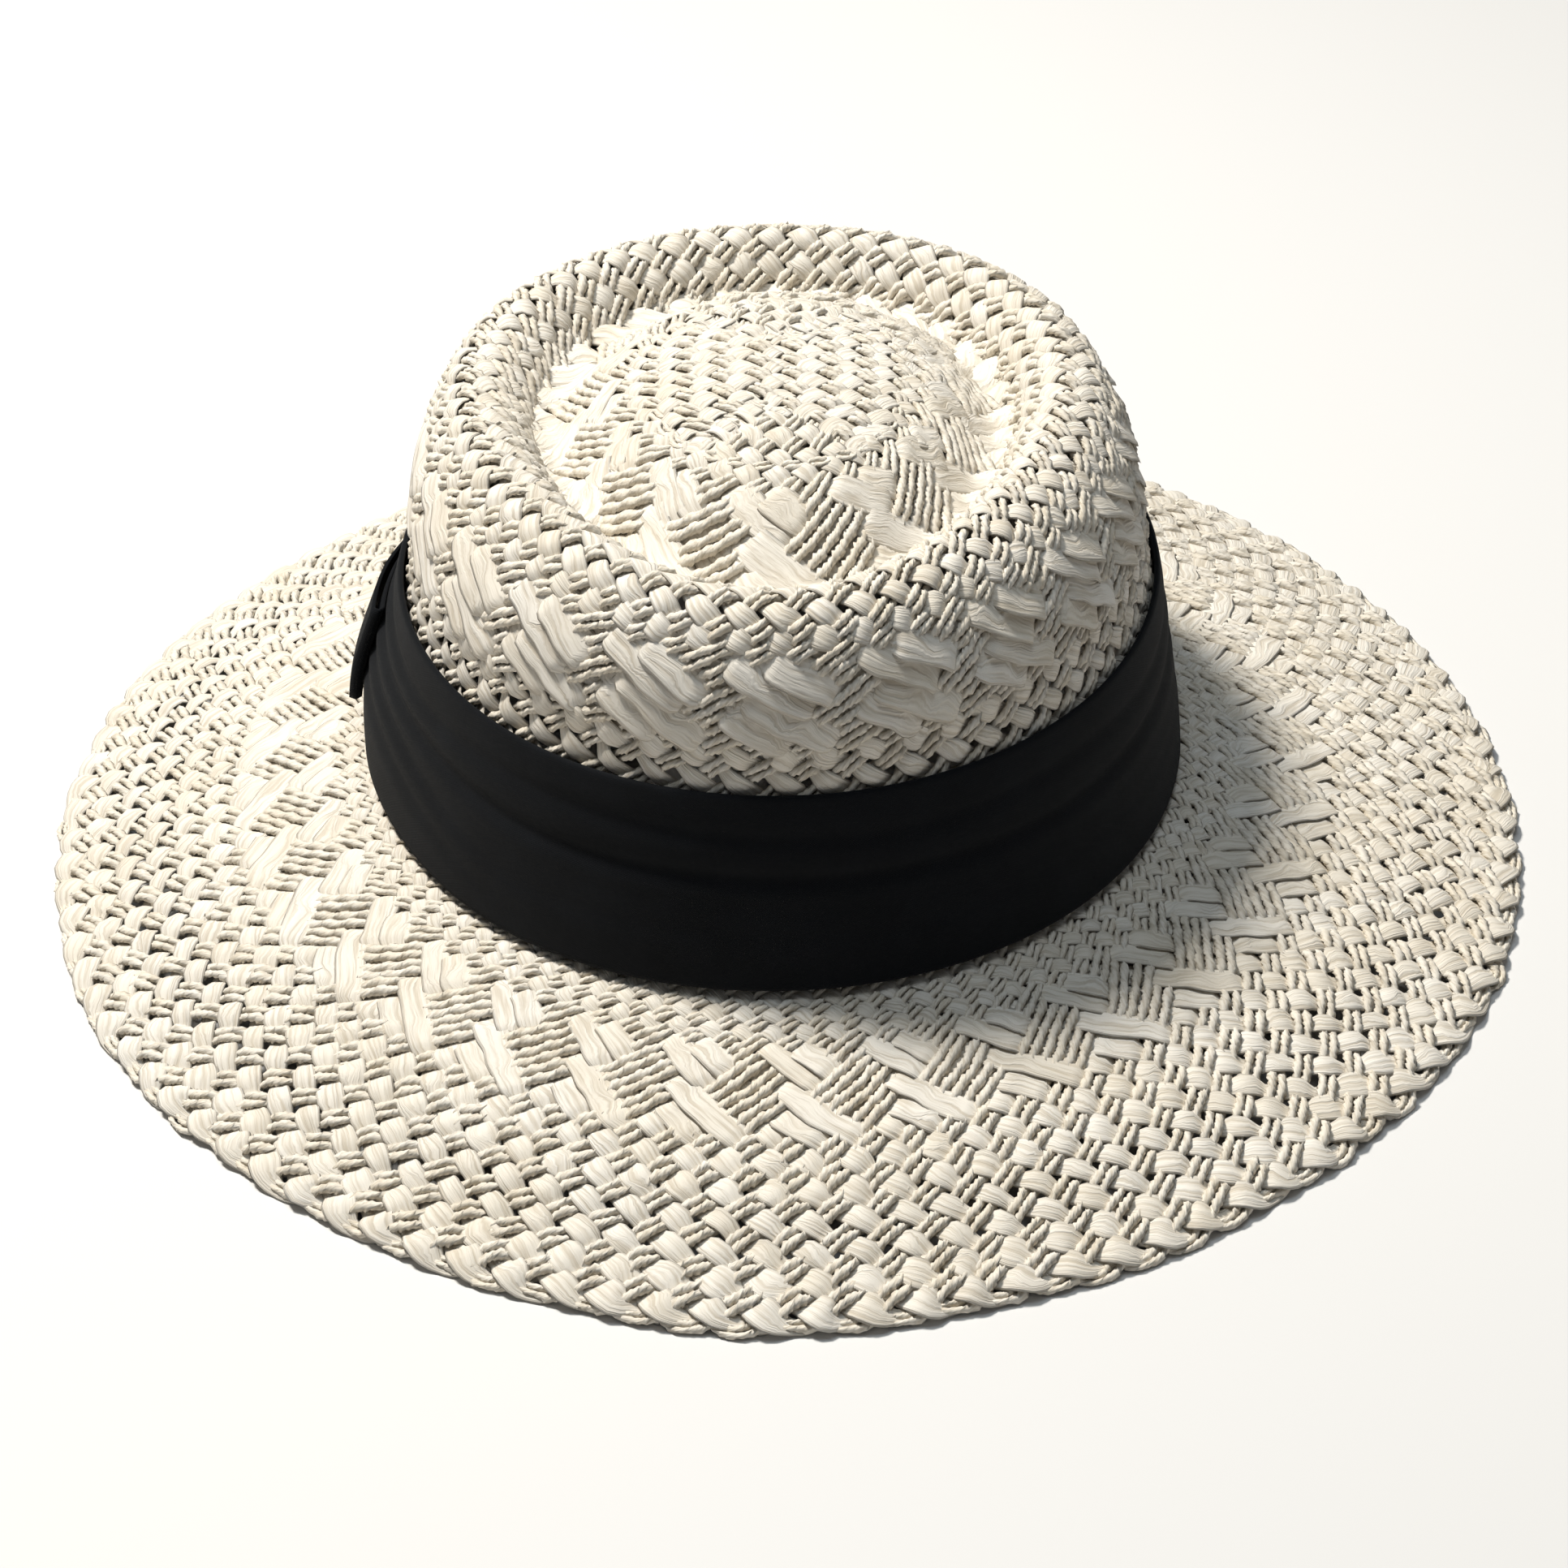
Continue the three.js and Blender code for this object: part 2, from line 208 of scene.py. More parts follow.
RING_AZIMUTHS = even_angles(180)
edge_ring = np.array([heading(azimuth) * brim_reach(azimuth)[1] for azimuth in RING_AZIMUTHS])
brim_azimuths = even_azimuths(edge_ring, COLUMNS)
brim_columns = np.array([brim_column(azimuth) for azimuth in brim_azimuths])
brim_grid = smoothed(brim_columns.transpose(1, 0, 2), passes=14)
edge_share = (np.linspace(0, 1, BRIM_ROWS) - EDGE_RISE_SHARE) / (1 - EDGE_RISE_SHARE)
brim_grid[:, :, 2] += EDGE_RISE * eased(edge_share)[:, None]
brim_sheet = Sheet(brim_grid, STRAW_WALL / 2)


class Levels:
    """The crossing levels of a weave, worked out from its zones."""

    def __init__(self, zones):
        rows = [dict(zone, place_in_zone=k) for zone in zones for k in range(zone["levels"])]
        steps = np.array([row["step"] for row in rows]) * MM
        self.count = len(rows)
        self.place = np.concatenate([[0], np.cumsum((steps[1:] + steps[:-1]) / 2)])
        self.ribbon = np.array([row["ribbon"] for row in rows])
        self.cord = np.array([row["cord"] for row in rows])
        self.tilt = np.array([row.get("tilt", 0.0) for row in rows])
        self.ribbon_on_top = np.array([self.tops(level, row) for level, row in enumerate(rows)])

    def tops(self, level, row):
        """Whether each of three ribbons in turn lies on top at a level."""
        if row["chart"]:
            return [tops[row["place_in_zone"]] == "R" for tops in row["chart"]]
        return [level % 2 == 0] * 3

    def states(self, strands, first=0):
        """1 where a strand is on top and -1 where it is under, for each level and strand: ribbons, then
        cords. At level 0 a ribbon meets the cords of its own number. first is the first level's number."""
        number = np.arange(strands)
        ribbons = np.where(self.ribbon_on_top[:, number % 3], 1.0, -1.0)
        met = (number[None, :] - np.arange(first, first + self.count)[:, None]) % strands
        return ribbons, -np.take_along_axis(ribbons, met, 1)


def drift(strands, samples, spacing):
    """Smooth random drift along each strand, between -1 and 1. spacing is in samples, from draw to draw."""
    knots = int(samples / spacing) + 3
    draws = DRAWS.uniform(-1, 1, (strands, knots))
    place = np.arange(samples) / spacing
    low = place.astype(int)
    part = eased(place - low)
    return draws[:, low] * (1 - part) + draws[:, low + 1] * part


def rings_joined(index):
    """Faces between each ring of point numbers and the next. The last axis goes round a ring."""
    near, far = index[..., :-1, :], index[..., 1:, :]
    return np.stack([near, far, np.roll(far, -1, -1), np.roll(near, -1, -1)], -1).reshape(-1, 4)


# Every strand has its own strip of the texture, unrolled along its length: where the strip starts and ends,
# and the share of it left free at each side. The strand's two end faces are slivers beyond it.
STRIP_RUN = (0.01, 0.96)
STRIP_MARGIN = 0.08
END_PLACES = (0.972, 0.986)
END_SIZE = (0.004, 0.3)


def joined_tubes(name, centres, ups, section):
    """One mesh of closed tubes. centres and ups are (strand, sample, 3) and section is
    (strand, sample, corner, 2): across and up from the centre."""
    strands, samples, corners = section.shape[:3]
    along = np.gradient(centres, axis=1)
    across = unit(np.cross(along, ups))
    lift = unit(np.cross(across, along))
    points = centres[:, :, None] + section[..., :1] * across[:, :, None] + section[..., 1:] * lift[:, :, None]
    index = np.arange(strands * samples * corners).reshape(strands, samples, corners)
    ends = np.concatenate([index[:, 0], index[:, -1, ::-1]])

    strip = np.arange(strands)[:, None] + np.linspace(STRIP_MARGIN, 1 - STRIP_MARGIN, corners + 1)
    uv = np.empty((strands, samples, corners + 1, 2))
    uv[..., 0] = np.linspace(*STRIP_RUN, samples)[:, None]
    uv[..., 1] = strip[:, None] / strands
    wall_uv = np.stack([uv[:, :-1, :-1], uv[:, 1:, :-1], uv[:, 1:, 1:], uv[:, :-1, 1:]], 3)
    angle = even_angles(corners)
    sliver = np.stack([END_SIZE[0] * np.cos(angle), END_SIZE[1] / strands * np.sin(angle)], -1)
    middles = (np.arange(strands) + 0.5) / strands
    end_uv = [sliver + np.stack([np.full(strands, place), middles], -1)[:, None] for place in END_PLACES]
    every_uv = np.concatenate([part.reshape(-1) for part in (wall_uv, *end_uv)])
    piece = mesh_piece(name, points.reshape(-1, 3), [rings_joined(index), ends], every_uv)
    tones = np.repeat(DRAWS.uniform(0, 1, strands), samples * corners).astype(np.float32)
    piece.data.attributes.new("tone", "FLOAT", "POINT").data.foreach_set("value", tones)
    return piece


def mesh_piece(name, points, face_groups, uv):
    """A smooth-shaded object from points and groups of faces that have the same number of corners."""
    sizes = [group.shape[1] for group in face_groups]
    totals = np.repeat(sizes, [len(group) for group in face_groups])
    starts = np.concatenate([[0], np.cumsum(totals)[:-1]])
    mesh = bpy.data.meshes.new(name)
    mesh.vertices.add(len(points))
    mesh.vertices.foreach_set("co", points.astype(np.float32).ravel())
    mesh.loops.add(int(totals.sum()))
    corners = np.concatenate([group.ravel() for group in face_groups])
    mesh.loops.foreach_set("vertex_index", corners.astype(np.int32))
    mesh.polygons.add(len(starts))
    mesh.polygons.foreach_set("loop_start", starts.astype(np.int32))
    mesh.update(calc_edges=True)
    mesh.shade_smooth()
    mesh.uv_layers.new(name="OFBake").uv.foreach_set("vector", uv.astype(np.float32))
    piece = bpy.data.objects.new(name, mesh)
    bpy.context.scene.collection.objects.link(piece)
    return piece


# A ribbon's cross section, right edge first: across as a share of half its width, up as a share of its crown
# above and of its thickness below.
RIBBON_OUTLINE = np.array(
    [[1, 0.05], [0.82, 0.85], [0, 1], [-0.82, 0.85], [-1, 0.05], [-0.7, -1], [0, -1], [0.7, -1]]
)
# Sizes of the strands as shares of the spacing between two of them.
RIBBON_CROWN = 0.065
RIBBON_THICKNESS = 0.07
RIBBON_LIFT = 0.15
CORD_LIFT = 0.12
# Share of a ribbon's width on top that it has where it lies under, and share left where it is tucked.
RIBBON_UNDER_WIDTH = 0.74
RIBBON_TURN_WIDTH = 0.5
# A cord's section has two lobes, which stand out by this share of its radius and turn once in each pitch.
CORD_CORNERS = 6
CORD_LOBES = 0.2
CORD_TWIST_PITCH = 10.0 * MM
# Distance of a cord from the middle of its pair, in its own radius.
CORD_APART = 1.02
# How far below the weave a tucked end lies, as a share of the lift.
TUCK_DEPTH = 1.5
# How sharply a strand rises or falls between two levels.
CROSSING_STEEPNESS = 1.7
# How much the strands vary along their length: their height as a share of the spacing, the rest as shares of
# the sizes themselves. A ribbon's width varies slowly and quickly, its crease sideways and upwards.
HEIGHT_VARIES = 0.03
WIDTH_VARIES = (0.09, 0.1)
CROWN_VARIES = 0.35
CREASE_VARIES = (0.5, 0.6)
CORD_APART_VARIES = 0.12
CORD_SIZE_VARIES = 0.08
# The twist of each cord starts at a random angle up to this one, in radians.
TWIST_START = 6.0


def crossing_profile(values, times):
    """Follows the values of each strand at whole levels, flat near each level and changing between two.
    values are (level, strand), and times, in levels, are (strand, sample)."""
    low = np.clip(np.floor(times).astype(int), 0, len(values) - 2)
    part = eased((times - low - 0.5) * CROSSING_STEEPNESS + 0.5)
    by_strand = values.T
    near = np.take_along_axis(by_strand, low, 1)
    far = np.take_along_axis(by_strand, low + 1, 1)
    return near * (1 - part) + far * part


def ribbon_piece(name, points, normals, spacing, share, state, tuck, tilt):
    """Flat ribbons that run over a surface, higher where they are on top and lower where they are tucked."""
    strands, samples = state.shape
    height = RIBBON_LIFT * spacing * (state * (1 - tuck) - TUCK_DEPTH * tuck)
    height = height + HEIGHT_VARIES * spacing * drift(strands, samples, 5)
    over = (state + 1) / 2
    width = spacing * share * (RIBBON_UNDER_WIDTH + (1 - RIBBON_UNDER_WIDTH) * over)
    width = width * (1 - (1 - RIBBON_TURN_WIDTH) * tuck)
    slow, quick = WIDTH_VARIES
    half = width * (1 + slow * drift(strands, samples, 8) + quick * drift(strands, samples, 3)) / 2
    crown = RIBBON_CROWN * spacing * (1 + CROWN_VARIES * drift(strands, samples, 5))
    thickness = RIBBON_THICKNESS * spacing * np.ones_like(crown)
    section = np.empty((strands, samples, len(RIBBON_OUTLINE), 2))
    section[..., 0] = half[..., None] * RIBBON_OUTLINE[:, 0]
    rise = np.where(RIBBON_OUTLINE[:, 1] > 0, crown[..., None], thickness[..., None])
    section[..., 1] = rise * RIBBON_OUTLINE[:, 1]
    # A crease runs along the ribbon, now to the left and now to the right of its middle, raised or sunk.
    section[..., 2, 0] += CREASE_VARIES[0] * half * drift(strands, samples, 3)
    section[..., 2, 1] += CREASE_VARIES[1] * crown * drift(strands, samples, 3)
    section[..., 1] += (tilt * over)[..., None] * section[..., 0]
    return joined_tubes(name, points + height[..., None] * normals, normals, section)


def cord_pieces(name, points, normals, spacing, share, state, tuck):
    """Pairs of twisted cords side by side, one piece for the cords on each side."""
    strands, samples = state.shape
    height = CORD_LIFT * spacing * (state * (1 - tuck) - TUCK_DEPTH * tuck)
    height = height + HEIGHT_VARIES * spacing * drift(strands, samples, 5)
    centres = points + height[..., None] * normals
    along = np.gradient(centres, axis=1)
    across = unit(np.cross(along, normals))
    length = np.cumsum(np.linalg.norm(along, axis=2), axis=1)
    radius = spacing * share / 2 * np.ones_like(state)
    corner = even_angles(CORD_CORNERS)
    pieces = []
    for side, suffix in ((-1, "_cords_near"), (1, "_cords_far")):
        spread = side * radius * (CORD_APART + CORD_APART_VARIES * drift(strands, samples, 5))
        twist = 2 * math.pi * length / CORD_TWIST_PITCH + DRAWS.uniform(0, TWIST_START, (strands, 1))
        lobes = radius[..., None] * (1 + CORD_LOBES * np.cos(2 * corner))
        lobes = lobes * (1 + CORD_SIZE_VARIES * drift(strands, samples, 4))[..., None]
        angle = twist[..., None] + corner
        section = np.stack([lobes * np.cos(angle), lobes * np.sin(angle)], -1)
        pieces.append(joined_tubes(name + suffix, centres + spread[..., None] * across, normals, section))
    return pieces


def strand_spacing(ring_step, level_step):
    """Distance between two strands, square to them, from their distance round the hat and the levels'."""
    return ring_step * level_step / np.hypot(level_step, ring_step / 2)


def running_mean(values, reach):
    """Values replaced by the mean of those up to reach places away."""
    width = 2 * reach + 1
    return np.convolve(np.pad(values, reach, mode="edge"), np.ones(width) / width, mode="valid")


# Levels in which a strand at the edge goes past the last level and comes back to it, and all levels of its
# turn.
OUT_AND_BACK = 2
TURN_BACK_LEVELS = 3
# Levels past the last one over which ribbons and cords are tucked: from and to.
RIBBON_TUCK = (0.0, 1.1)
CORD_TUCK = (0.5, 2.0)
# Level by which a strand that starts tucked is out.
START_TUCK = 1.3
# How far strands stray from their line, slowly and quickly, in shares of the distance between two.
STRAY = (0.08, 0.05)
# At the edge, how unevenly the strands turn back, in levels, and how much thinner the cords get.
EDGE_RAGGED = 0.4
EDGE_CORD_THINS = 0.4


def round_weave(name, sheet, strands, levels, places, start_tuck, turn_back):
    """Ribbons and cords woven round the hat over a sheet. places gives each level's distance along the
    sheet's rows. start_tuck sinks the first ends, and turn_back turns the last ones back."""
    last = levels.count - 1
    samples = (last + (TURN_BACK_LEVELS if turn_back else 0)) * SAMPLES_PER_LEVEL + 1
    times = np.arange(samples) / SAMPLES_PER_LEVEL
    beyond = np.clip(times - last, 0, None)
    flat_times = np.minimum(times, last)
    last_step = places[-1] - places[-2]

    def reach_with(overhang):
        """Distance along the sheet's rows at each sample."""
        swing = overhang * (1 - np.abs(1 - beyond) ** 3)
        turned = np.where(beyond < OUT_AND_BACK, swing, OUT_AND_BACK - beyond)
        return np.interp(flat_times, np.arange(last + 1), places) + turned * last_step

    reach = reach_with(0)
    ring_step = np.interp(reach, sheet.reach, sheet.ring_lengths) / strands
    level_step = np.interp(flat_times, np.arange(last + 1), np.gradient(places))
    spacing = running_mean(strand_spacing(ring_step, level_step), 3)
    start = eased(START_TUCK - times) if start_tuck else 0
    ribbon_tuck, cord_tuck = (
        np.maximum(eased((beyond - begin) / (end - begin)), start) for begin, end in (RIBBON_TUCK, CORD_TUCK)
    )

    number = np.arange(strands)[:, None]
    all_times = np.broadcast_to(flat_times, (strands, samples))
    ribbon_states, cord_states = levels.states(strands)

    def route(direction, overhang):
        """Points and normals of all the strands that go round the hat one way."""
        stray = STRAY[0] * drift(strands, samples, 9) + STRAY[1] * drift(strands, samples, 4)
        turn = (number + direction * times[None, :] / 2 + stray) / strands
        ragged = last_step * eased(beyond) * (EDGE_RAGGED * DRAWS.uniform(-1, 1, (strands, 1)))
        return sheet.at(turn, sheet.share_at(reach_with(overhang)[None, :] + ragged))

    def along_levels(values):
        """Values of the levels at each sample."""
        return np.interp(flat_times, np.arange(last + 1), values)

    ribbons = ribbon_piece(
        name + "_ribbons", *route(1, RIBBON_OVERHANG), spacing, along_levels(levels.ribbon),
        crossing_profile(ribbon_states, all_times), ribbon_tuck, along_levels(levels.tilt),
    )
    cords = cord_pieces(
        name, *route(-1, CORD_OVERHANG), spacing,
        along_levels(levels.cord) * (1 - EDGE_CORD_THINS * eased(beyond)),
        crossing_profile(cord_states, all_times), cord_tuck,
    )
    return [ribbons, *cords]


class Wire:
    """One socket in a material's nodes. Arithmetic on it adds Math nodes."""

    def __init__(self, tree, socket=None):
        self.tree = tree
        self.socket = socket

    def node(self, kind, settings, inputs, output=0):
        """Adds a node: its settings first, then the values or links of its sockets. Gives one output."""
        made = self.tree.nodes.new(kind)
        for key, value in settings.items():
            if key == "stops":
                for stop, (place, colour) in zip(made.color_ramp.elements, value):
                    stop.position = place
                    stop.color = colour
            else:
                setattr(made, key, value)
        for key, value in inputs.items():
            if isinstance(value, Wire):
                self.tree.links.new(value.socket, made.inputs[key])
            else:
                made.inputs[key].default_value = value
        return Wire(self.tree, made.outputs[output])

    def maths(self, operation, first, second=0.0):
        """Adds a Math node."""
        return self.node("ShaderNodeMath", {"operation": operation}, {0: first, 1: second})

    def mixed(self, low, high):
        """A colour between two, by this value."""
        return self.node("ShaderNodeMix", {"data_type": "RGBA"}, {0: self, 6: low, 7: high}, output=2)

    def __add__(self, other):
        return self.maths("ADD", self, other)

    def __radd__(self, other):
        return self.maths("ADD", other, self)

    def __sub__(self, other):
        return self.maths("SUBTRACT", self, other)

    def __rsub__(self, other):
        return self.maths("SUBTRACT", other, self)

    def __mul__(self, other):
        return self.maths("MULTIPLY", self, other)

    def __rmul__(self, other):
        return self.maths("MULTIPLY", other, self)


def new_material(name, constants):
    """A material with one Principled shader, its constant sockets set. Gives the material, a wire to add
    nodes with, and the shader."""
    material = bpy.data.materials.new(name)
    material.use_nodes = True
    shader = material.node_tree.nodes["Principled BSDF"]
    for key, value in constants.items():
        shader.inputs[key].default_value = value
    return material, Wire(material.node_tree), shader


def feed(shader, socket, wire):
    """Links a wire to one of the shader's sockets."""
    wire.tree.links.new(wire.socket, shader.inputs[socket])


# Pale and warm straw are the straw's own tones. The third colour is painted shade laid into the creases'
# grooves.
STRAW_PALE = (0.75, 0.718, 0.66, 1)
STRAW_WARM = (0.68, 0.615, 0.505, 1)
STRAW_GROOVE_SHADE = (0.41, 0.345, 0.25, 1)
# How much a strand's own tone and the blotches mix warm straw into pale straw. Both are a half on average.
TONE_SHARE = 0.45
BLOTCH_SHARE = 0.75


def straw_material(name, along, around, groove_depth, groove_shade_share, warmth):
    """Bleached straw: fine creases along each strand, their grooves darkened with painted shade, and tones
    that differ from strand to strand.
    along and around give how often the creases vary over the texture, the groove depth how deep the bump is,
    the groove share how strong the painted shade in the grooves is, warmth the share of warm straw."""
    material, wire, shader = new_material(name, {"Specular IOR Level": 0.25})
    strip = wire.node("ShaderNodeUVMap", {"uv_map": "OFBake"}, {})
    stretch = wire.node("ShaderNodeVectorMath", {"operation": "MULTIPLY"}, {0: strip, 1: (along, around, 1)})
    creases = {"Vector": stretch, "Scale": 1.0, "Detail": 3.0, "Roughness": 0.6}
    crease = wire.node("ShaderNodeTexNoise", {}, creases)
    place = wire.node("ShaderNodeTexCoord", {}, {}, output="Object")
    blotch = wire.node("ShaderNodeTexNoise", {}, {"Vector": place, "Scale": 55.0, "Detail": 2.0})
    tone = wire.node("ShaderNodeAttribute", {"attribute_name": "tone"}, {}, output="Fac")
    ramp = {"stops": [(0.37, (0, 0, 0, 1)), (0.54, (1, 1, 1, 1))]}
    smooth_part = wire.node("ShaderNodeValToRGB", ramp, {"Fac": crease})
    steady = warmth - (TONE_SHARE + BLOTCH_SHARE) / 2
    colour = (TONE_SHARE * tone + BLOTCH_SHARE * blotch + steady).mixed(STRAW_PALE, STRAW_WARM)
    # The low parts of the creases are painted darker: painted shade in the grooves, following the bump.
    feed(shader, "Base Color", (groove_shade_share - groove_shade_share * smooth_part).mixed(colour, STRAW_GROOVE_SHADE))
    feed(shader, "Roughness", 0.62 + 0.2 * crease)
    bump = wire.node("ShaderNodeBump", {}, {"Strength": 0.9, "Distance": groove_depth, "Height": crease})
    feed(shader, "Normal", bump)
    return material


# How the creases look on ribbons and on cords, with the painted shade in their grooves, and how many of them
# go round one strand.
RIBBON_STRAW = dict(along=9.0, groove_depth=0.65 * MM, groove_shade_share=0.55, warmth=0.25)
RIBBON_CREASES = 27
CORD_STRAW = dict(along=60.0, groove_depth=0.3 * MM, groove_shade_share=0.5, warmth=0.45)
CORD_CREASES = 9


def finish_straw(name, pieces, strands, node):
    """Gives the straw pieces of one weave their materials, hangs them under the root body and hides the CAD
    node.
    """
    ribbon_straw = straw_material(name + "_ribbon_straw", around=RIBBON_CREASES * strands, **RIBBON_STRAW)
    cord_straw = straw_material(name + "_cord_straw", around=CORD_CREASES * strands, **CORD_STRAW)
    for piece in pieces:
        piece.data.materials.append(ribbon_straw if piece.name.endswith("ribbons") else cord_straw)
        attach(piece, "root")
        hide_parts(node)


brim_levels = Levels(BRIM_ZONES)
edge_step = brim_levels.place[-1] - brim_levels.place[-2]
brim_room = brim_sheet.reach[-1] - BRIM_START - EDGE_MARGIN
brim_scale = brim_room / (brim_levels.place[-1] + CORD_OVERHANG * edge_step)
brim_places = BRIM_START + brim_levels.place * brim_scale
brim_pieces = round_weave(
    "brim", brim_sheet, BRIM_STRANDS, brim_levels, brim_places, start_tuck=False, turn_back=True,
)
finish_straw("brim", brim_pieces, BRIM_STRANDS, "brim")

# Crown wall
# The wall is woven of wider strands than the brim, from inside the dish over the rolled crest and down to the
# head line. Open rows with small holes lie under the crest and over the band, with a ring of floats between.
CROWN_STRANDS = 60
# Rows of the surface from the apex to the valley of the dish, on to the crest, and down to the foot.
CROWN_PARTS = (56, 22, 92)
PROFILE_RAYS = 300
# The first rays meet the top of the dome, before the valley.
APEX_RAYS = 30
# Point under the hat that the rays to its profile go towards.
PROFILE_CENTRE = np.array([-1.0, 0.0, -60.0]) * MM
# Place of the first level, inside the dish, from the crest.
CREST_START = -17.0 * MM
# On the wall the ribbons float farther, in two rows that lap like shingles. The cords show in small blocks.
WALL_CHART = ("RRRRCCC", "RRRCRRR", "CCCRRRR")
CROWN_ZONES = [
    dict(name="dish wall", levels=5, step=3.5, chart=PLAIN, ribbon=1.15, cord=0.42),
    dict(name="open crest", levels=2, step=4.6, chart=PLAIN, ribbon=0.88, cord=0.32),
    dict(name="over the floats", levels=3, step=2.3, chart=PLAIN, ribbon=1.25, cord=0.40),
    dict(name="float ring", levels=7, step=2.65, chart=WALL_CHART, ribbon=1.8, cord=0.44, tilt=0.26),
    dict(name="under the floats", levels=2, step=2.35, chart=PLAIN, ribbon=1.25, cord=0.40),
    dict(name="open foot", levels=4, step=3.4, chart=PLAIN, ribbon=0.85, cord=0.32),
    dict(name="under the band", levels=10, step=3.7, chart=PLAIN, ribbon=1.1, cord=0.40),
]

crown_skin = skin_of("crown")
FOOT_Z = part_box("crown")[0].z + 1.6 * MM
# The profile counts as rising, past the valley, where it gains more than this from ray to ray.
RISE_FELT = 1e-6


def evenly_placed(points, steps):
    """Points that divide a line into steps of equal length."""
    reach = lengths_along(points)
    places = np.linspace(0, reach[-1], steps + 1)
    return np.stack([np.interp(places, reach, along) for along in points.T], 1)


def crown_foot(azimuth):
    """Point at the foot of the crown's outer side at an azimuth."""
    start = PROFILE_CENTRE * (1, 1, 0) + heading(azimuth) * FAR_OUT + (0, 0, FOOT_Z)
    return hit(crown_skin, start, -heading(azimuth))


def crown_column(azimuth):
    """The crown's outer side at an azimuth, from apex to foot, with rows at the valley and the crest."""
    foot = crown_foot(azimuth) - PROFILE_CENTRE
    lowest = math.atan2(foot[2], math.hypot(foot[0], foot[1]))
    out = heading(azimuth)
    profile = []
    for rise in np.linspace(math.pi / 2, lowest, PROFILE_RAYS):
        away = out * math.cos(rise) + (0, 0, math.sin(rise))
        profile.append(hit(crown_skin, PROFILE_CENTRE + away * FAR_OUT, -away))
    profile = np.array(profile)
    valley = APEX_RAYS + int(np.argmax(np.diff(profile[APEX_RAYS:, 2]) > RISE_FELT))
    crest = valley + int(np.argmax(profile[valley:, 2]))
    cuts = [profile[: valley + 1], profile[valley : crest + 1], profile[crest:]]
    parts = [evenly_placed(cut, steps) for cut, steps in zip(cuts, CROWN_PARTS)]
    return np.vstack([parts[0], parts[1][1:], parts[2][1:]])


foot_ring = np.array([crown_foot(azimuth) for azimuth in RING_AZIMUTHS])
crown_azimuths = even_azimuths(foot_ring, COLUMNS)
crown_columns = np.array([crown_column(azimuth) for azimuth in crown_azimuths])
crown_grid = smoothed(crown_columns.transpose(1, 0, 2), passes=10)
crown_sheet = Sheet(crown_grid, STRAW_WALL / 2)
valley_reach = crown_sheet.reach[CROWN_PARTS[0]]
crest_reach = crown_sheet.reach[CROWN_PARTS[0] + CROWN_PARTS[1]]

crown_levels = Levels(CROWN_ZONES)
# The last levels crowd together under the band rather than pass the foot.
lowest_places = crown_sheet.reach[-1] - np.arange(crown_levels.count)[::-1] * MM
crown_places = np.minimum(crest_reach + CREST_START + crown_levels.place, lowest_places)
crown_pieces = round_weave(
    "crown", crown_sheet, CROWN_STRANDS, crown_levels, crown_places, start_tuck=True, turn_back=False,
)
finish_straw("crown", crown_pieces, CROWN_STRANDS, "crown")

# Dome
# The dome in the middle of the dish starts as a square lattice of strands, set on its corner. The strands fan
# out round it, float across the valley and end tucked under the strands of the crown wall.
DOME_STRANDS = 36
# Half sizes of the lattice in strands, and of the oval that its outer ring makes. The lattice's middle is a
# line of this half length, and the dome sits a little to one side.
LATTICE_HALF = (3.5, 5.5)
DOME_HALF = (26.5 * MM, 37.5 * MM)
DOME_LINE = 13 * MM
DOME_SHIFT = -0.6 * MM
# Share of the way from the apex to the valley at which the lattice's edge lies.
DOME_EDGE_SHARE = 0.526
LATTICE_LEVELS = 7
DOME_STEP = 3.25 * MM
DOME_OUTER_LEVELS = 11
DOME_SAMPLES = SAMPLES_PER_LEVEL * (LATTICE_LEVELS + DOME_OUTER_LEVELS) + 1
# Levels over which the strands come to be spread evenly round the dome.
DOME_EVEN_AFTER = 9
# Levels, counted from the lattice's edge, over which its spacing gives way to that of the rings outside it.
FAN_LEVELS = (-2, 2)
# Levels before the end of a strand between which it is tucked.
DOME_TUCK = (2.2, 0.6)
PLAIN_STRANDS = dict(chart=PLAIN, ribbon=1.3, cord=0.38)
DOME_ZONES = [
    dict(name="lattice", levels=LATTICE_LEVELS + 3, step=1.0, **PLAIN_STRANDS),
    dict(name="float ring", levels=7, step=1.0, chart=FLOAT_CHART, ribbon=1.65, cord=0.47),
    dict(name="tucked", levels=2, step=1.0, **PLAIN_STRANDS),
]
PATH_SMOOTHING = 5
# Crowded strands keep at least this share of their spacing.
CROWDED_SHARE = 0.76
# Rays down to the dish start a hair off its grid lines, where they could slip between two faces.
OFF_CORNERS = np.array([0.013, 0.007]) * MM

corner_x, corner_y = LATTICE_HALF
# The lattice's four sides in turn, anticlockwise: first corner, direction along it, and direction out of it.
LATTICE_SIDES = [
    dict(start=(corner_x, -corner_y), along=(0, 1), out=(1, 0), length=2 * corner_y),
    dict(start=(corner_x, corner_y), along=(-1, 0), out=(0, 1), length=2 * corner_x),
    dict(start=(-corner_x, corner_y), along=(0, -1), out=(-1, 0), length=2 * corner_y),
    dict(start=(-corner_x, -corner_y), along=(1, 0), out=(0, -1), length=2 * corner_x),
]


def on_lattice_edge(place):
    """Side, and distance along it, at a distance round the lattice from its first corner."""
    place = place % DOME_STRANDS
    for side in LATTICE_SIDES:
        if place < side["length"] + TINY:
            return side, place
        place -= side["length"]


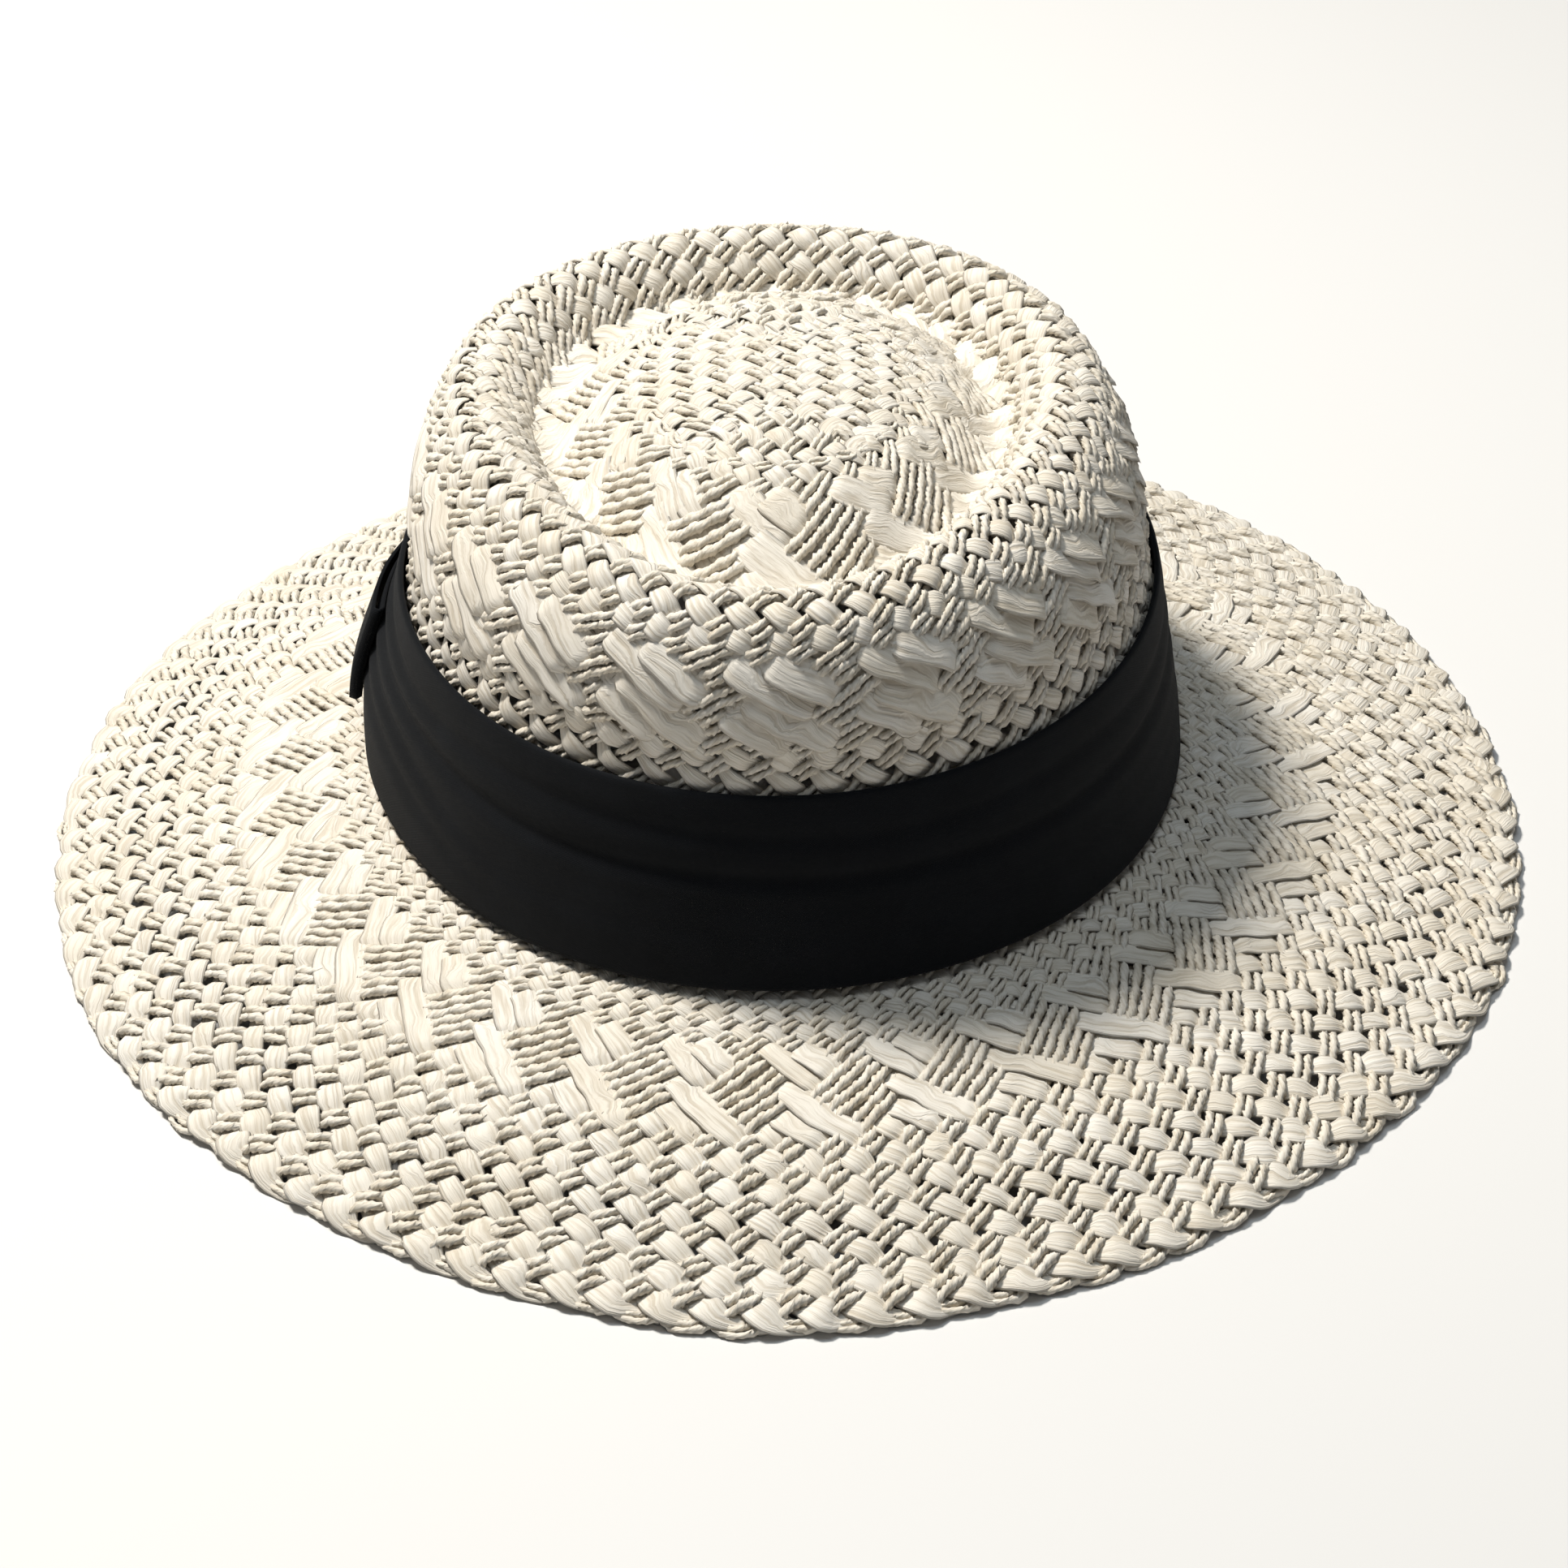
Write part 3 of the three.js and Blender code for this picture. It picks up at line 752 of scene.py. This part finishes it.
def on_dome(x, y):
    """Ground place of a lattice point. Each square ring of the lattice becomes a ring with round ends, whose
    straight sides are as long as the dome's middle line and get shorter outwards."""
    half_line = LATTICE_HALF[1] - LATTICE_HALF[0]
    above = np.maximum(np.abs(y) - half_line, 0)
    ring = np.maximum(np.maximum(np.abs(x), above), TINY)
    at_end = above > np.abs(x)
    angle = np.where(at_end, math.pi / 2 - math.pi / 4 * np.abs(x) / ring, math.pi / 4 * above / ring)
    share = ring / LATTICE_HALF[0]
    straight = DOME_LINE * (1 - share) + (DOME_HALF[1] - DOME_HALF[0]) * share
    along_line = np.minimum(np.abs(y), half_line) / half_line * straight
    return (
        DOME_SHIFT + np.sign(x) * DOME_HALF[0] * share * np.cos(angle),
        np.sign(y) * (along_line + DOME_HALF[0] * share * np.sin(angle)),
    )


def turn_of(azimuth):
    """Turn round the crown's surface at an azimuth."""
    turns = np.arange(COLUMNS + 1) / COLUMNS
    return np.interp(azimuth % (2 * math.pi), np.append(crown_azimuths, 2 * math.pi), turns)


def edge_turn(place):
    """Turn round the crown at a distance round the lattice's edge."""
    side, distance = on_lattice_edge(place)
    x = side["start"][0] + side["along"][0] * distance
    y = side["start"][1] + side["along"][1] * distance
    ground = on_dome(np.array(x), np.array(y))
    return turn_of(math.atan2(ground[1], ground[0]))


# How far the lattice's edge leads an even spread of the strands round the dome, at places all round it.
EDGE_PLACE_STEP = 0.125
edge_places = np.arange(0, DOME_STRANDS, EDGE_PLACE_STEP)
edge_turns = np.unwrap(np.array([edge_turn(place) for place in edge_places]), period=1)
edge_lead = edge_turns - edge_places / DOME_STRANDS
mean_lead = edge_lead.mean()
edge_places = np.append(edge_places, DOME_STRANDS)
edge_lead = np.append(edge_lead, edge_lead[0])

# The dish as a skin of its own: the crown's surface from the apex to the crest.
dish_rows = sum(CROWN_PARTS[:2])
dish_index = np.arange(dish_rows * COLUMNS).reshape(dish_rows, COLUMNS)
dish_near, dish_far = dish_index[:-1], dish_index[1:]
dish_faces = np.stack([dish_near, np.roll(dish_near, -1, 1), np.roll(dish_far, -1, 1), dish_far], -1)
dish_skin = BVHTree.FromPolygons(crown_sheet.grid.reshape(-1, 3).tolist(), dish_faces.reshape(-1, 4).tolist())


def outer_reach(times):
    """Distance from the apex at levels outside the lattice's edge."""
    return valley_reach * DOME_EDGE_SHARE + np.maximum(times, 0) * DOME_STEP


def dome_path(place, direction, times):
    """One strand of the dome. place is where it crosses the lattice's edge, direction 1 for a ribbon and -1
    for cords, and times its levels, 0 at the lattice's edge and rising outwards."""
    side, distance = on_lattice_edge(place)
    start, along, out = (np.array(side[key], dtype=float) for key in ("start", "along", "out"))
    inside = np.minimum(times, 0)[:, None] / 2
    lattice = start + along * distance + inside * (out + direction * along)
    ground = np.stack(on_dome(lattice[:, 0], lattice[:, 1]), 1)

    beyond = np.maximum(times, 0)
    round_place = place + direction * beyond / 2
    lead = np.interp(round_place % DOME_STRANDS, edge_places, edge_lead)
    even = eased(beyond / DOME_EVEN_AFTER)
    turn = round_place / DOME_STRANDS + lead * (1 - even) + mean_lead * even
    outer, _ = crown_sheet.at(turn, crown_sheet.share_at(outer_reach(times)))
    return evened(np.where((times > 0)[:, None], outer[:, :2], ground), PATH_SMOOTHING)


dome_levels = Levels(DOME_ZONES)
dome_ribbon_states, dome_cord_states = dome_levels.states(DOME_STRANDS, first=-LATTICE_LEVELS)


def dome_family(direction, states, shares):
    """What the dome's ribbons or cords are made from: points, normals, spacing, width shares, states and
    tuck. states and shares are those of the levels."""
    grounds, all_times, states = [], [], states.copy()
    for strand in range(DOME_STRANDS):
        side, distance = on_lattice_edge(strand)
        run = distance + 1 if direction > 0 else side["length"] - distance
        levels_inside = min(int(round(run)), LATTICE_LEVELS)
        if levels_inside < LATTICE_LEVELS:
            states[: LATTICE_LEVELS - levels_inside + 1, strand] = -1
        times = np.linspace(-levels_inside, DOME_OUTER_LEVELS, DOME_SAMPLES)
        grounds.append(dome_path(strand, direction, times))
        all_times.append(times)
    grounds, times = np.array(grounds), np.array(all_times)
    points, normals = np.empty((*times.shape, 3)), np.empty((*times.shape, 3))
    for place in np.ndindex(*times.shape):
        start = Vector((*(grounds[place] + OFF_CORNERS), FAR_OUT))
        location, normal, _, _ = dish_skin.ray_cast(start, Vector((0, 0, -1)))
        points[place] = location
        normals[place] = normal if normal.z > 0 else -normal
    normals = unit(evened(normals.swapaxes(0, 1), PATH_SMOOTHING).swapaxes(0, 1))
    lattice_spacing = (DOME_HALF[0] / corner_x + DOME_HALF[1] / corner_y) / 2 / math.sqrt(2)
    ring_step = np.interp(outer_reach(times), crown_sheet.reach, crown_sheet.ring_lengths) / DOME_STRANDS
    outer_spacing = strand_spacing(ring_step, DOME_STEP)
    part = eased((times - FAN_LEVELS[0]) / (FAN_LEVELS[1] - FAN_LEVELS[0]))
    spacing = lattice_spacing * (1 - part) + outer_spacing * part
    # Where strands crowd together they are only as wide as the room between them.
    for strand in range(DOME_STRANDS):
        others = np.delete(points, strand, 0).reshape(-1, 3)
        room = np.linalg.norm(points[strand][:, None] - others[None], axis=2).min(1)
        room = np.clip(room, CROWDED_SHARE * spacing[strand], spacing[strand])
        spacing[strand] = running_mean(room, 2)
    tuck = eased((times - DOME_OUTER_LEVELS + DOME_TUCK[0]) / (DOME_TUCK[0] - DOME_TUCK[1]))
    level_times = times + LATTICE_LEVELS
    share = np.interp(level_times, np.arange(dome_levels.count), shares)
    return points, normals, spacing, share, crossing_profile(states, level_times), tuck


dome_ribbons = dome_family(1, dome_ribbon_states, dome_levels.ribbon)
dome_cords = dome_family(-1, dome_cord_states, dome_levels.cord)
dome_pieces = [ribbon_piece("dome_ribbons", *dome_ribbons, tilt=0.0), *cord_pieces("dome", *dome_cords)]
finish_straw("dome", dome_pieces, DOME_STRANDS, "crown")

# Band
# The band is a length of fine black cotton laid in long soft pleats and drawn tight round the crown's foot.
# Towards the bow the pleats are drawn together.
BAND_COLUMNS = 320
BAND_ROWS = 46
CLOTH_WALL = 1.3 * MM
# Step in height with which the band's edges are felt for, and how far inside them the cloth's face ends.
BAND_FEEL = 0.2 * MM
BAND_MARGIN = 0.6 * MM
# Pleats as creases: share of the band's height in front and beside the bow, and depth in millimetres there.
BAND_CREASES = [
    dict(name="main", front=0.58, bow=0.66, depth_front=0.75, depth_bow=0.9),
    dict(name="upper", front=0.79, bow=0.80, depth_front=0.45, depth_bow=0.8),
    dict(name="lower", front=0.30, bow=0.52, depth_front=0.12, depth_bow=0.8),
    dict(name="lowest", front=0.12, bow=0.36, depth_front=0.0, depth_bow=0.6),
]
# A crease's width and how far it strays, as shares of the band's height.
CREASE_WIDTH = 0.045
CREASE_STRAY = 0.02
# Columns on each side of the first one over which the creases come back to their own height.
STRAY_ENDS = 30
# The roll of cloth under each crease: its height as a share of the crease's depth, how far under the crease
# it lies, and the square of its width. The last two count in widths of the crease.
ROLL_HEIGHT = 0.35
ROLL_BELOW = 1.7
ROLL_WIDTH = 1.4
BAND_BULGE = 0.25 * MM
# Where the cloth rounds in over its upper edge and under its lower one, as shares of its thickness.
TOP_LIP = np.array([0.35, 0.75])[:, None, None]
FOOT_LIP = np.array([1.0, 0.75])[:, None, None]
LIP_RISE = np.array([0, 0, 0.45 * MM])
BAND_INNER_ROWS = 8
EDGE_SMOOTHING = 4
# Azimuth of the bow, and how far from it the pleats are fully and no longer drawn together.
BOW_TURN = math.radians(150)
GATHER_FULL = math.radians(34)
GATHER_SPREAD = math.radians(95)

band_low, band_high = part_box("band")
band_skin = skin_of("band")
band_azimuths = even_angles(BAND_COLUMNS)


def band_edges(azimuth):
    """Heights of the band's lower and upper edge at an azimuth."""
    out = heading(azimuth)
    found = []
    for height in np.arange(band_low.z, band_high.z, BAND_FEEL):
        point = band_skin.ray_cast(Vector(out * FAR_OUT + (0, 0, height)), Vector(-out), FAR_OUT)[0]
        if point is not None:
            found.append(height)
    return found[0] + BAND_MARGIN, found[-1] - BAND_MARGIN / 2


def band_column(azimuth, foot, top):
    """Points on the band's outer side at an azimuth, from its lower edge up."""
    out = heading(azimuth)
    heights = np.linspace(foot, top, BAND_ROWS)
    return [hit(band_skin, out * FAR_OUT + (0, 0, height), -out) for height in heights]


band_feet, band_tops = np.array([band_edges(azimuth) for azimuth in band_azimuths]).T
for _ in range(EDGE_SMOOTHING):
    band_feet = np.maximum(band_feet, (np.roll(band_feet, 1) + band_feet + np.roll(band_feet, -1)) / 3)
    band_tops = np.minimum(band_tops, (np.roll(band_tops, 1) + band_tops + np.roll(band_tops, -1)) / 3)
band_columns = [band_column(*edges) for edges in zip(band_azimuths, band_feet, band_tops)]
band_base = smoothed(np.array(band_columns).transpose(1, 0, 2), passes=26)
band_out = heading(band_azimuths)
from_bow = np.abs((band_azimuths - BOW_TURN + math.pi) % (2 * math.pi) - math.pi)
gather = 1 - eased((from_bow - GATHER_FULL) / (GATHER_SPREAD - GATHER_FULL))
height_share = np.linspace(0, 1, BAND_ROWS)[:, None]
from_first = np.minimum(np.arange(BAND_COLUMNS), np.arange(BAND_COLUMNS)[::-1])
waves = drift(len(BAND_CREASES), BAND_COLUMNS, 23) * eased(from_first / STRAY_ENDS)
fold = np.zeros((BAND_ROWS, BAND_COLUMNS))
for crease, wave in zip(BAND_CREASES, waves):
    middle = crease["front"] * (1 - gather) + crease["bow"] * gather + CREASE_STRAY * wave
    depth = (crease["depth_front"] * (1 - gather) + crease["depth_bow"] * gather) * MM
    from_crease = (height_share - middle) / CREASE_WIDTH
    fold -= depth * np.exp(-from_crease * from_crease)
    fold += ROLL_HEIGHT * depth * np.exp(-((from_crease + ROLL_BELOW) ** 2) / ROLL_WIDTH)
fold += BAND_BULGE * np.sin(math.pi * height_share)
band_face = band_base + fold[..., None] * band_out
top_edge = band_face[-1] + LIP_RISE - TOP_LIP * CLOTH_WALL * band_out
foot_edge = band_face[0] - LIP_RISE - FOOT_LIP * CLOTH_WALL * band_out
inner_rows = np.linspace(BAND_ROWS - 1, 0, BAND_INNER_ROWS).astype(int)
band_inside = (band_base - CLOTH_WALL * band_out)[inner_rows]
band_grid = np.concatenate([band_face, top_edge, band_inside, foot_edge])

# The cloth's texture keeps a margin on a mesh without ends. On one with two ends it leaves a strip for their
# faces, which lie there at two heights.
TEXTURE_MARGIN = 0.01
ENDED_WIDTH = 0.95
END_FACE_U = 0.975
END_FACE_HEIGHTS = (0.25, 0.75)
END_FACE_SIZE = (0.01, 0.1)


def cloth_mesh(name, rings, has_ends=False):
    """A mesh from rings of points, each joined to the next. The last one is joined to the first, or else
    both are closed with a face."""
    count, corners = rings.shape[:2]
    index = np.arange(count * corners).reshape(count, corners)
    order = [0, 1, 2, 3] if has_ends else [0, 3, 2, 1]
    walls = rings_joined(index if has_ends else np.vstack([index, index[:1]]))[:, order]
    ends = np.stack([index[0], index[-1, ::-1]])
    points = rings.reshape(-1, 3)
    first, second, third = (points[walls[:, corner]] - points.mean(0) for corner in range(3))
    if np.einsum("ij,ij->i", first, np.cross(second, third)).sum() < 0:
        walls, ends, order = walls[:, ::-1], ends[:, ::-1], order[::-1]
    corner_steps = np.array([(0, 0), (1, 0), (1, 1), (0, 1)])[order]
    steps = len(walls) // corners
    row, column = np.meshgrid(np.arange(steps), np.arange(corners), indexing="ij")
    shares = [np.stack([(column + right) / corners, (row + up) / steps], -1) for up, right in corner_steps]
    uv = np.stack(shares, 2)
    if not has_ends:
        uv = TEXTURE_MARGIN + (1 - 2 * TEXTURE_MARGIN) * uv
        return mesh_piece(name, points, [walls], uv.reshape(-1))
    angle = even_angles(corners)
    face = np.stack([END_FACE_U + END_FACE_SIZE[0] * np.cos(angle), END_FACE_SIZE[1] * np.sin(angle)], -1)
    end_uv = [face + (0, height) for height in END_FACE_HEIGHTS]
    every_uv = np.concatenate([part.reshape(-1) for part in (uv * (ENDED_WIDTH, 1), *end_uv)])
    return mesh_piece(name, points, [walls, ends], every_uv)


CLOTH_BLACK = (0.0022, 0.003, 0.0044, 1)
CLOTH_WORN = (0.0058, 0.0072, 0.0098, 1)


def cloth_material(name, threads_round, threads_up):
    """Fine black cotton: a plain weave of threads, a little worn grey where it is rubbed."""
    constants = {"Specular IOR Level": 0.12, "Sheen Weight": 0.02, "Sheen Roughness": 0.5}
    material, wire, shader = new_material(name, constants)
    strip = wire.node("ShaderNodeUVMap", {"uv_map": "OFBake"}, {})
    u = wire.node("ShaderNodeSeparateXYZ", {}, {0: strip}, output=0)
    v = wire.node("ShaderNodeSeparateXYZ", {}, {0: strip}, output=1)
    place = wire.node("ShaderNodeTexCoord", {}, {}, output="Object")
    worn = wire.node("ShaderNodeTexNoise", {}, {"Vector": place, "Scale": 90.0, "Detail": 4.0})
    slub = wire.node("ShaderNodeTexNoise", {}, {"Vector": place, "Scale": 900.0, "Detail": 2.0})
    warp = wire.maths("SINE", u * (2 * math.pi * threads_round) + 2.0 * slub)
    weft = wire.maths("SINE", v * (2 * math.pi * threads_up) + 2.0 * slub)
    threads = warp * weft
    ramp = {"stops": [(0.42, (0, 0, 0, 1)), (0.78, (1, 1, 1, 1))]}
    rubbed = wire.node("ShaderNodeValToRGB", ramp, {"Fac": worn})
    feed(shader, "Base Color", (0.5 * rubbed + 0.15 * threads + 0.2 * slub).mixed(CLOTH_BLACK, CLOTH_WORN))
    feed(shader, "Roughness", 0.78 + 0.12 * slub)
    bump = wire.node("ShaderNodeBump", {}, {"Strength": 0.5, "Distance": 0.08 * MM, "Height": threads + slub})
    feed(shader, "Normal", bump)
    return material


def finish_cloth(piece, node, material):
    """Gives a piece of cloth its material, hangs it under the root body and hides the CAD node."""
    piece.data.materials.append(material)
    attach(piece, "root")
    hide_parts(node)


band_cloth = cloth_material("band_cloth", threads_round=1150, threads_up=190)
finish_cloth(cloth_mesh("band_cloth", band_grid), "band", band_cloth)

# Bow
# The bow is a flat loop of the same cloth, laid along the band and drawn in at its middle.
# Its front end is the fold that shows at the left of the photograph; the rest is finished plainly.
BOW_PATH = 140
BOW_ACROSS = 14
BOW_CLOTH = 0.8 * MM
BOW_LIFT_IN = 0.6 * MM
BOW_LIFT_OUT = 2.7 * MM
BOW_DRAWN_IN = 3.0 * MM
# Shares of the bow's half length between which it widens to its full height.
BOW_WIDENS = (0.1, 0.9)
BOW_PLEATS = 3
BOW_PLEAT_DEPTH = 0.35 * MM
# Depth of the pleats on the side that lies on the band, as a share of the outer ones.
BACK_PLEATS = 0.2
# Room for the band's own folds under the bow.
OVER_FOLDS = 0.3 * MM

bow_points = np.array([v.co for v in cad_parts["bow"].data.vertices])
bow_low, bow_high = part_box("bow")
bow_turns = np.arctan2(bow_points[:, 1], bow_points[:, 0]) % (2 * math.pi)
bow_middle_turn = (bow_turns.min() + bow_turns.max()) / 2
bow_reach = np.hypot(bow_points[:, 0], bow_points[:, 1]).mean()
bow_half_length = (bow_turns.max() - bow_turns.min()) / 2 * bow_reach
bow_middle_z = (bow_low.z + bow_high.z) / 2
bow_half_height = (bow_high.z - bow_low.z) / 2


def over_band(run, height, lift):
    """A point over the band: run along it from the bow's middle, height, and lift out from its face."""
    azimuth = bow_middle_turn + run / bow_reach
    column = azimuth / (2 * math.pi) * BAND_COLUMNS
    column_low = np.floor(column).astype(int)
    foot = band_base[0, column_low % BAND_COLUMNS, 2]
    top = band_base[-1, column_low % BAND_COLUMNS, 2]
    row = np.clip((height - foot) / (top - foot), 0, 1) * (BAND_ROWS - 1)
    row_low = np.minimum(row.astype(int), BAND_ROWS - 2)
    row_part = (row - row_low)[..., None]
    column_part = (column - column_low)[..., None]

    def at_column(number):
        number = number % BAND_COLUMNS
        return band_base[row_low, number] * (1 - row_part) + band_base[row_low + 1, number] * row_part

    face = at_column(column_low) * (1 - column_part) + at_column(column_low + 1) * column_part
    point = face + (lift[..., None] + OVER_FOLDS) * heading(azimuth)
    point[..., 2] = height
    return point


bow_end_radius = (BOW_LIFT_OUT - BOW_LIFT_IN) / 2
bow_straight = 2 * (bow_half_length - bow_end_radius - BOW_CLOTH / 2)
bow_half_way = bow_straight + math.pi * bow_end_radius


def on_loop(place):
    """Run and lift at a distance along the bow's loop, and the direction out of the loop in the same plane.
    The loop goes along its outer face and round an end. Its second half is the first one turned round."""
    turn = max(place % bow_half_way - bow_straight, 0) / bow_end_radius
    along = min(place % bow_half_way, bow_straight) - bow_straight / 2
    out = np.array([math.sin(turn), math.cos(turn)])
    half = np.concatenate([bow_end_radius * out + (along, 0), out])
    return half if place < bow_half_way else -half


bow_places = np.arange(BOW_PATH) / BOW_PATH * 2 * bow_half_way
bow_run, bow_lift, bow_out_run, bow_out_lift = np.array([on_loop(place) for place in bow_places]).T[..., None]
bow_widens = (np.abs(bow_run) / bow_half_length - BOW_WIDENS[0]) / (BOW_WIDENS[1] - BOW_WIDENS[0])
bow_drawn = 1 - eased(bow_widens)
bow_across = np.linspace(-1, 1, BOW_ACROSS)[None, :]
bow_pleat = BOW_PLEAT_DEPTH * bow_drawn**2 * np.cos(math.pi * BOW_PLEATS * bow_across)
bow_sides = []
for depth, order in ((BOW_CLOTH / 2, 1), (-BOW_CLOTH / 2, -1)):
    run = bow_run + bow_out_run * depth + 0 * bow_across
    lift = (BOW_LIFT_IN + BOW_LIFT_OUT) / 2 + bow_lift + bow_out_lift * depth
    lift = lift + np.where(bow_out_lift > 0, 1, BACK_PLEATS) * bow_pleat[:, ::order]
    height = bow_middle_z + (bow_half_height - BOW_DRAWN_IN * bow_drawn) * bow_across[:, ::order]
    bow_sides.append(over_band(run, height, lift))
bow_grid = np.concatenate(bow_sides, 1)
bow_cloth = cloth_material("bow_cloth", threads_round=90, threads_up=420)
finish_cloth(cloth_mesh("bow_cloth", bow_grid), "bow", bow_cloth)

# Bow wrap
# The wrap is a short strip of the same black cotton. It goes over the middle of the bow, which it draws in,
# and its two ends turn in behind the bow.
WRAP_HALF_WIDTH = 7.0 * MM
WRAP_CLOTH = 1.2 * MM
WRAP_STEPS = 36
WRAP_CORNERS = 10
# Room between the wrap and the bow's drawn-in edges, and between the wrap and the bow's face.
WRAP_EDGE_ROOM = 0.4 * MM
WRAP_FACE_ROOM = 0.1 * MM
# How far past that room the middle of its cloth lies as it turns in, the lift there as a share of its face's,
# how far inside the edges the turn starts, and the lift of the strip's two ends.
WRAP_PAST = 0.6 * WRAP_CLOTH
WRAP_TURN_LIFT = 0.7
WRAP_TURN_START = 1.0 * MM
WRAP_END_LIFT = 0.5 * MM
WRAP_SMOOTHING = 3
# Ridges along the strip, and how far its long edges fall.
WRAP_RIDGES = 3
WRAP_RIDGE_HEIGHT = 0.25 * MM
WRAP_EDGE_FALL = 0.5 * MM

wrap_low = bow_low.z + BOW_DRAWN_IN - WRAP_EDGE_ROOM
wrap_high = bow_high.z - BOW_DRAWN_IN + WRAP_EDGE_ROOM
wrap_face = BOW_LIFT_OUT + BOW_CLOTH / 2 + BOW_PLEAT_DEPTH + WRAP_CLOTH / 2 + WRAP_FACE_ROOM
# The strip's line as heights and lifts, from its lower end over the face to its upper end.
wrap_stops = np.array(
    [
        [wrap_low - WRAP_PAST, WRAP_END_LIFT],
        [wrap_low - WRAP_PAST, wrap_face * WRAP_TURN_LIFT],
        [wrap_low + WRAP_TURN_START, wrap_face],
        [wrap_high - WRAP_TURN_START, wrap_face],
        [wrap_high + WRAP_PAST, wrap_face * WRAP_TURN_LIFT],
        [wrap_high + WRAP_PAST, WRAP_END_LIFT],
    ]
)
wrap_line = evened(evenly_placed(wrap_stops, WRAP_STEPS - 1), WRAP_SMOOTHING)
wrap_slope = unit(np.gradient(wrap_line, axis=0))
wrap_across = np.linspace(-1, 1, WRAP_CORNERS)
wrap_relief = WRAP_RIDGE_HEIGHT * np.cos(math.pi * WRAP_RIDGES * wrap_across)
wrap_relief -= WRAP_EDGE_FALL * wrap_across**4
wrap_sides = []
for raised, order in ((WRAP_CLOTH / 2 + wrap_relief, 1), (np.full(WRAP_CORNERS, -WRAP_CLOTH / 2), -1)):
    lift = wrap_line[:, 1:] + wrap_slope[:, :1] * raised[::order]
    height = wrap_line[:, :1] - wrap_slope[:, 1:] * raised[::order]
    run = WRAP_HALF_WIDTH * wrap_across[::order] + 0 * lift
    wrap_sides.append(over_band(run, height, lift))
wrap_rings = np.concatenate(wrap_sides, 1)
wrap_cloth = cloth_material("wrap_cloth", threads_round=60, threads_up=60)
wrap_mesh = cloth_mesh("wrap_cloth", wrap_rings, has_ends=True)
finish_cloth(wrap_mesh, "bow_wrap", wrap_cloth)

# Floor, light and camera
# A plain pale floor under soft light: a warm lamp behind and to the left, high up, a wide cool lamp overhead
# and a faint cool fill all round. The camera stands at the photograph's angle.
FLOOR_HALF = 6.0
FLOOR_GREY = (0.68, 0.68, 0.68, 1)
floor_mesh = bpy.data.meshes.new("floor")
floor_corners = [(x * FLOOR_HALF, y * FLOOR_HALF, 0) for x, y in ((-1, -1), (1, -1), (1, 1), (-1, 1))]
floor_mesh.from_pydata(floor_corners, [], [(0, 1, 2, 3)])
floor = bpy.data.objects.new("floor", floor_mesh)
bpy.context.scene.collection.objects.link(floor)
floor_mesh.materials.append(new_material("pale_floor", {"Base Color": FLOOR_GREY, "Roughness": 0.9})[0])

LAMP_TARGET = Vector((0, 0, 0.05))
WARM_LIGHT = (1.0, 0.95, 0.87)
COOL_LIGHT = (0.85, 0.94, 1.0)


def add_lamp(name, azimuth, elevation, distance, size, power, colour):
    """A square lamp that looks at the hat. Azimuth is from +X through +Y, in degrees."""
    light = bpy.data.lights.new(name, "AREA")
    light.size = size
    light.energy = power
    light.color = colour
    lamp = bpy.data.objects.new(name, light)
    turn, rise = math.radians(azimuth), math.radians(elevation)
    away = Vector((math.cos(turn) * math.cos(rise), math.sin(turn) * math.cos(rise), math.sin(rise)))
    lamp.location = away * distance + LAMP_TARGET
    lamp.rotation_euler = away.to_track_quat("Z", "Y").to_euler()
    bpy.context.scene.collection.objects.link(lamp)


add_lamp("key_lamp", azimuth=150, elevation=64, distance=1.6, size=0.28, power=38, colour=WARM_LIGHT)
add_lamp("overhead_lamp", azimuth=275, elevation=88, distance=1.5, size=0.7, power=6.0, colour=COOL_LIGHT)

world = bpy.data.worlds.new("studio")
world.use_nodes = True
fill = world.node_tree.nodes["Background"]
fill.inputs["Color"].default_value = (0.90, 0.95, 1.0, 1)
fill.inputs["Strength"].default_value = 0.095
bpy.context.scene.world = world
bpy.context.scene.view_settings.view_transform = "Standard"

CAMERA_ELEVATION = math.radians(34.26)
CAMERA_ROLL = math.radians(-0.86)
CAMERA_DISTANCE = 0.8994
CAMERA_TARGET = Vector((-0.00058, 0, 0.00845))
CAMERA_LENS = 91.44
CAMERA_SENSOR = 36
camera_data = bpy.data.cameras.new("camera")
camera_data.lens = CAMERA_LENS
camera_data.sensor_width = CAMERA_SENSOR
camera = bpy.data.objects.new("camera", camera_data)
back = Vector((0, -math.cos(CAMERA_ELEVATION), math.sin(CAMERA_ELEVATION)))
level_up = Vector((0, math.sin(CAMERA_ELEVATION), math.cos(CAMERA_ELEVATION)))
right = math.cos(CAMERA_ROLL) * Vector((1, 0, 0)) + math.sin(CAMERA_ROLL) * level_up
up = back.cross(right)
facing = Matrix((right, up, back)).transposed().to_4x4()
camera.matrix_world = Matrix.Translation(CAMERA_TARGET + CAMERA_DISTANCE * back) @ facing
bpy.context.scene.collection.objects.link(camera)
bpy.context.scene.camera = camera

bpy.context.view_layer.update()
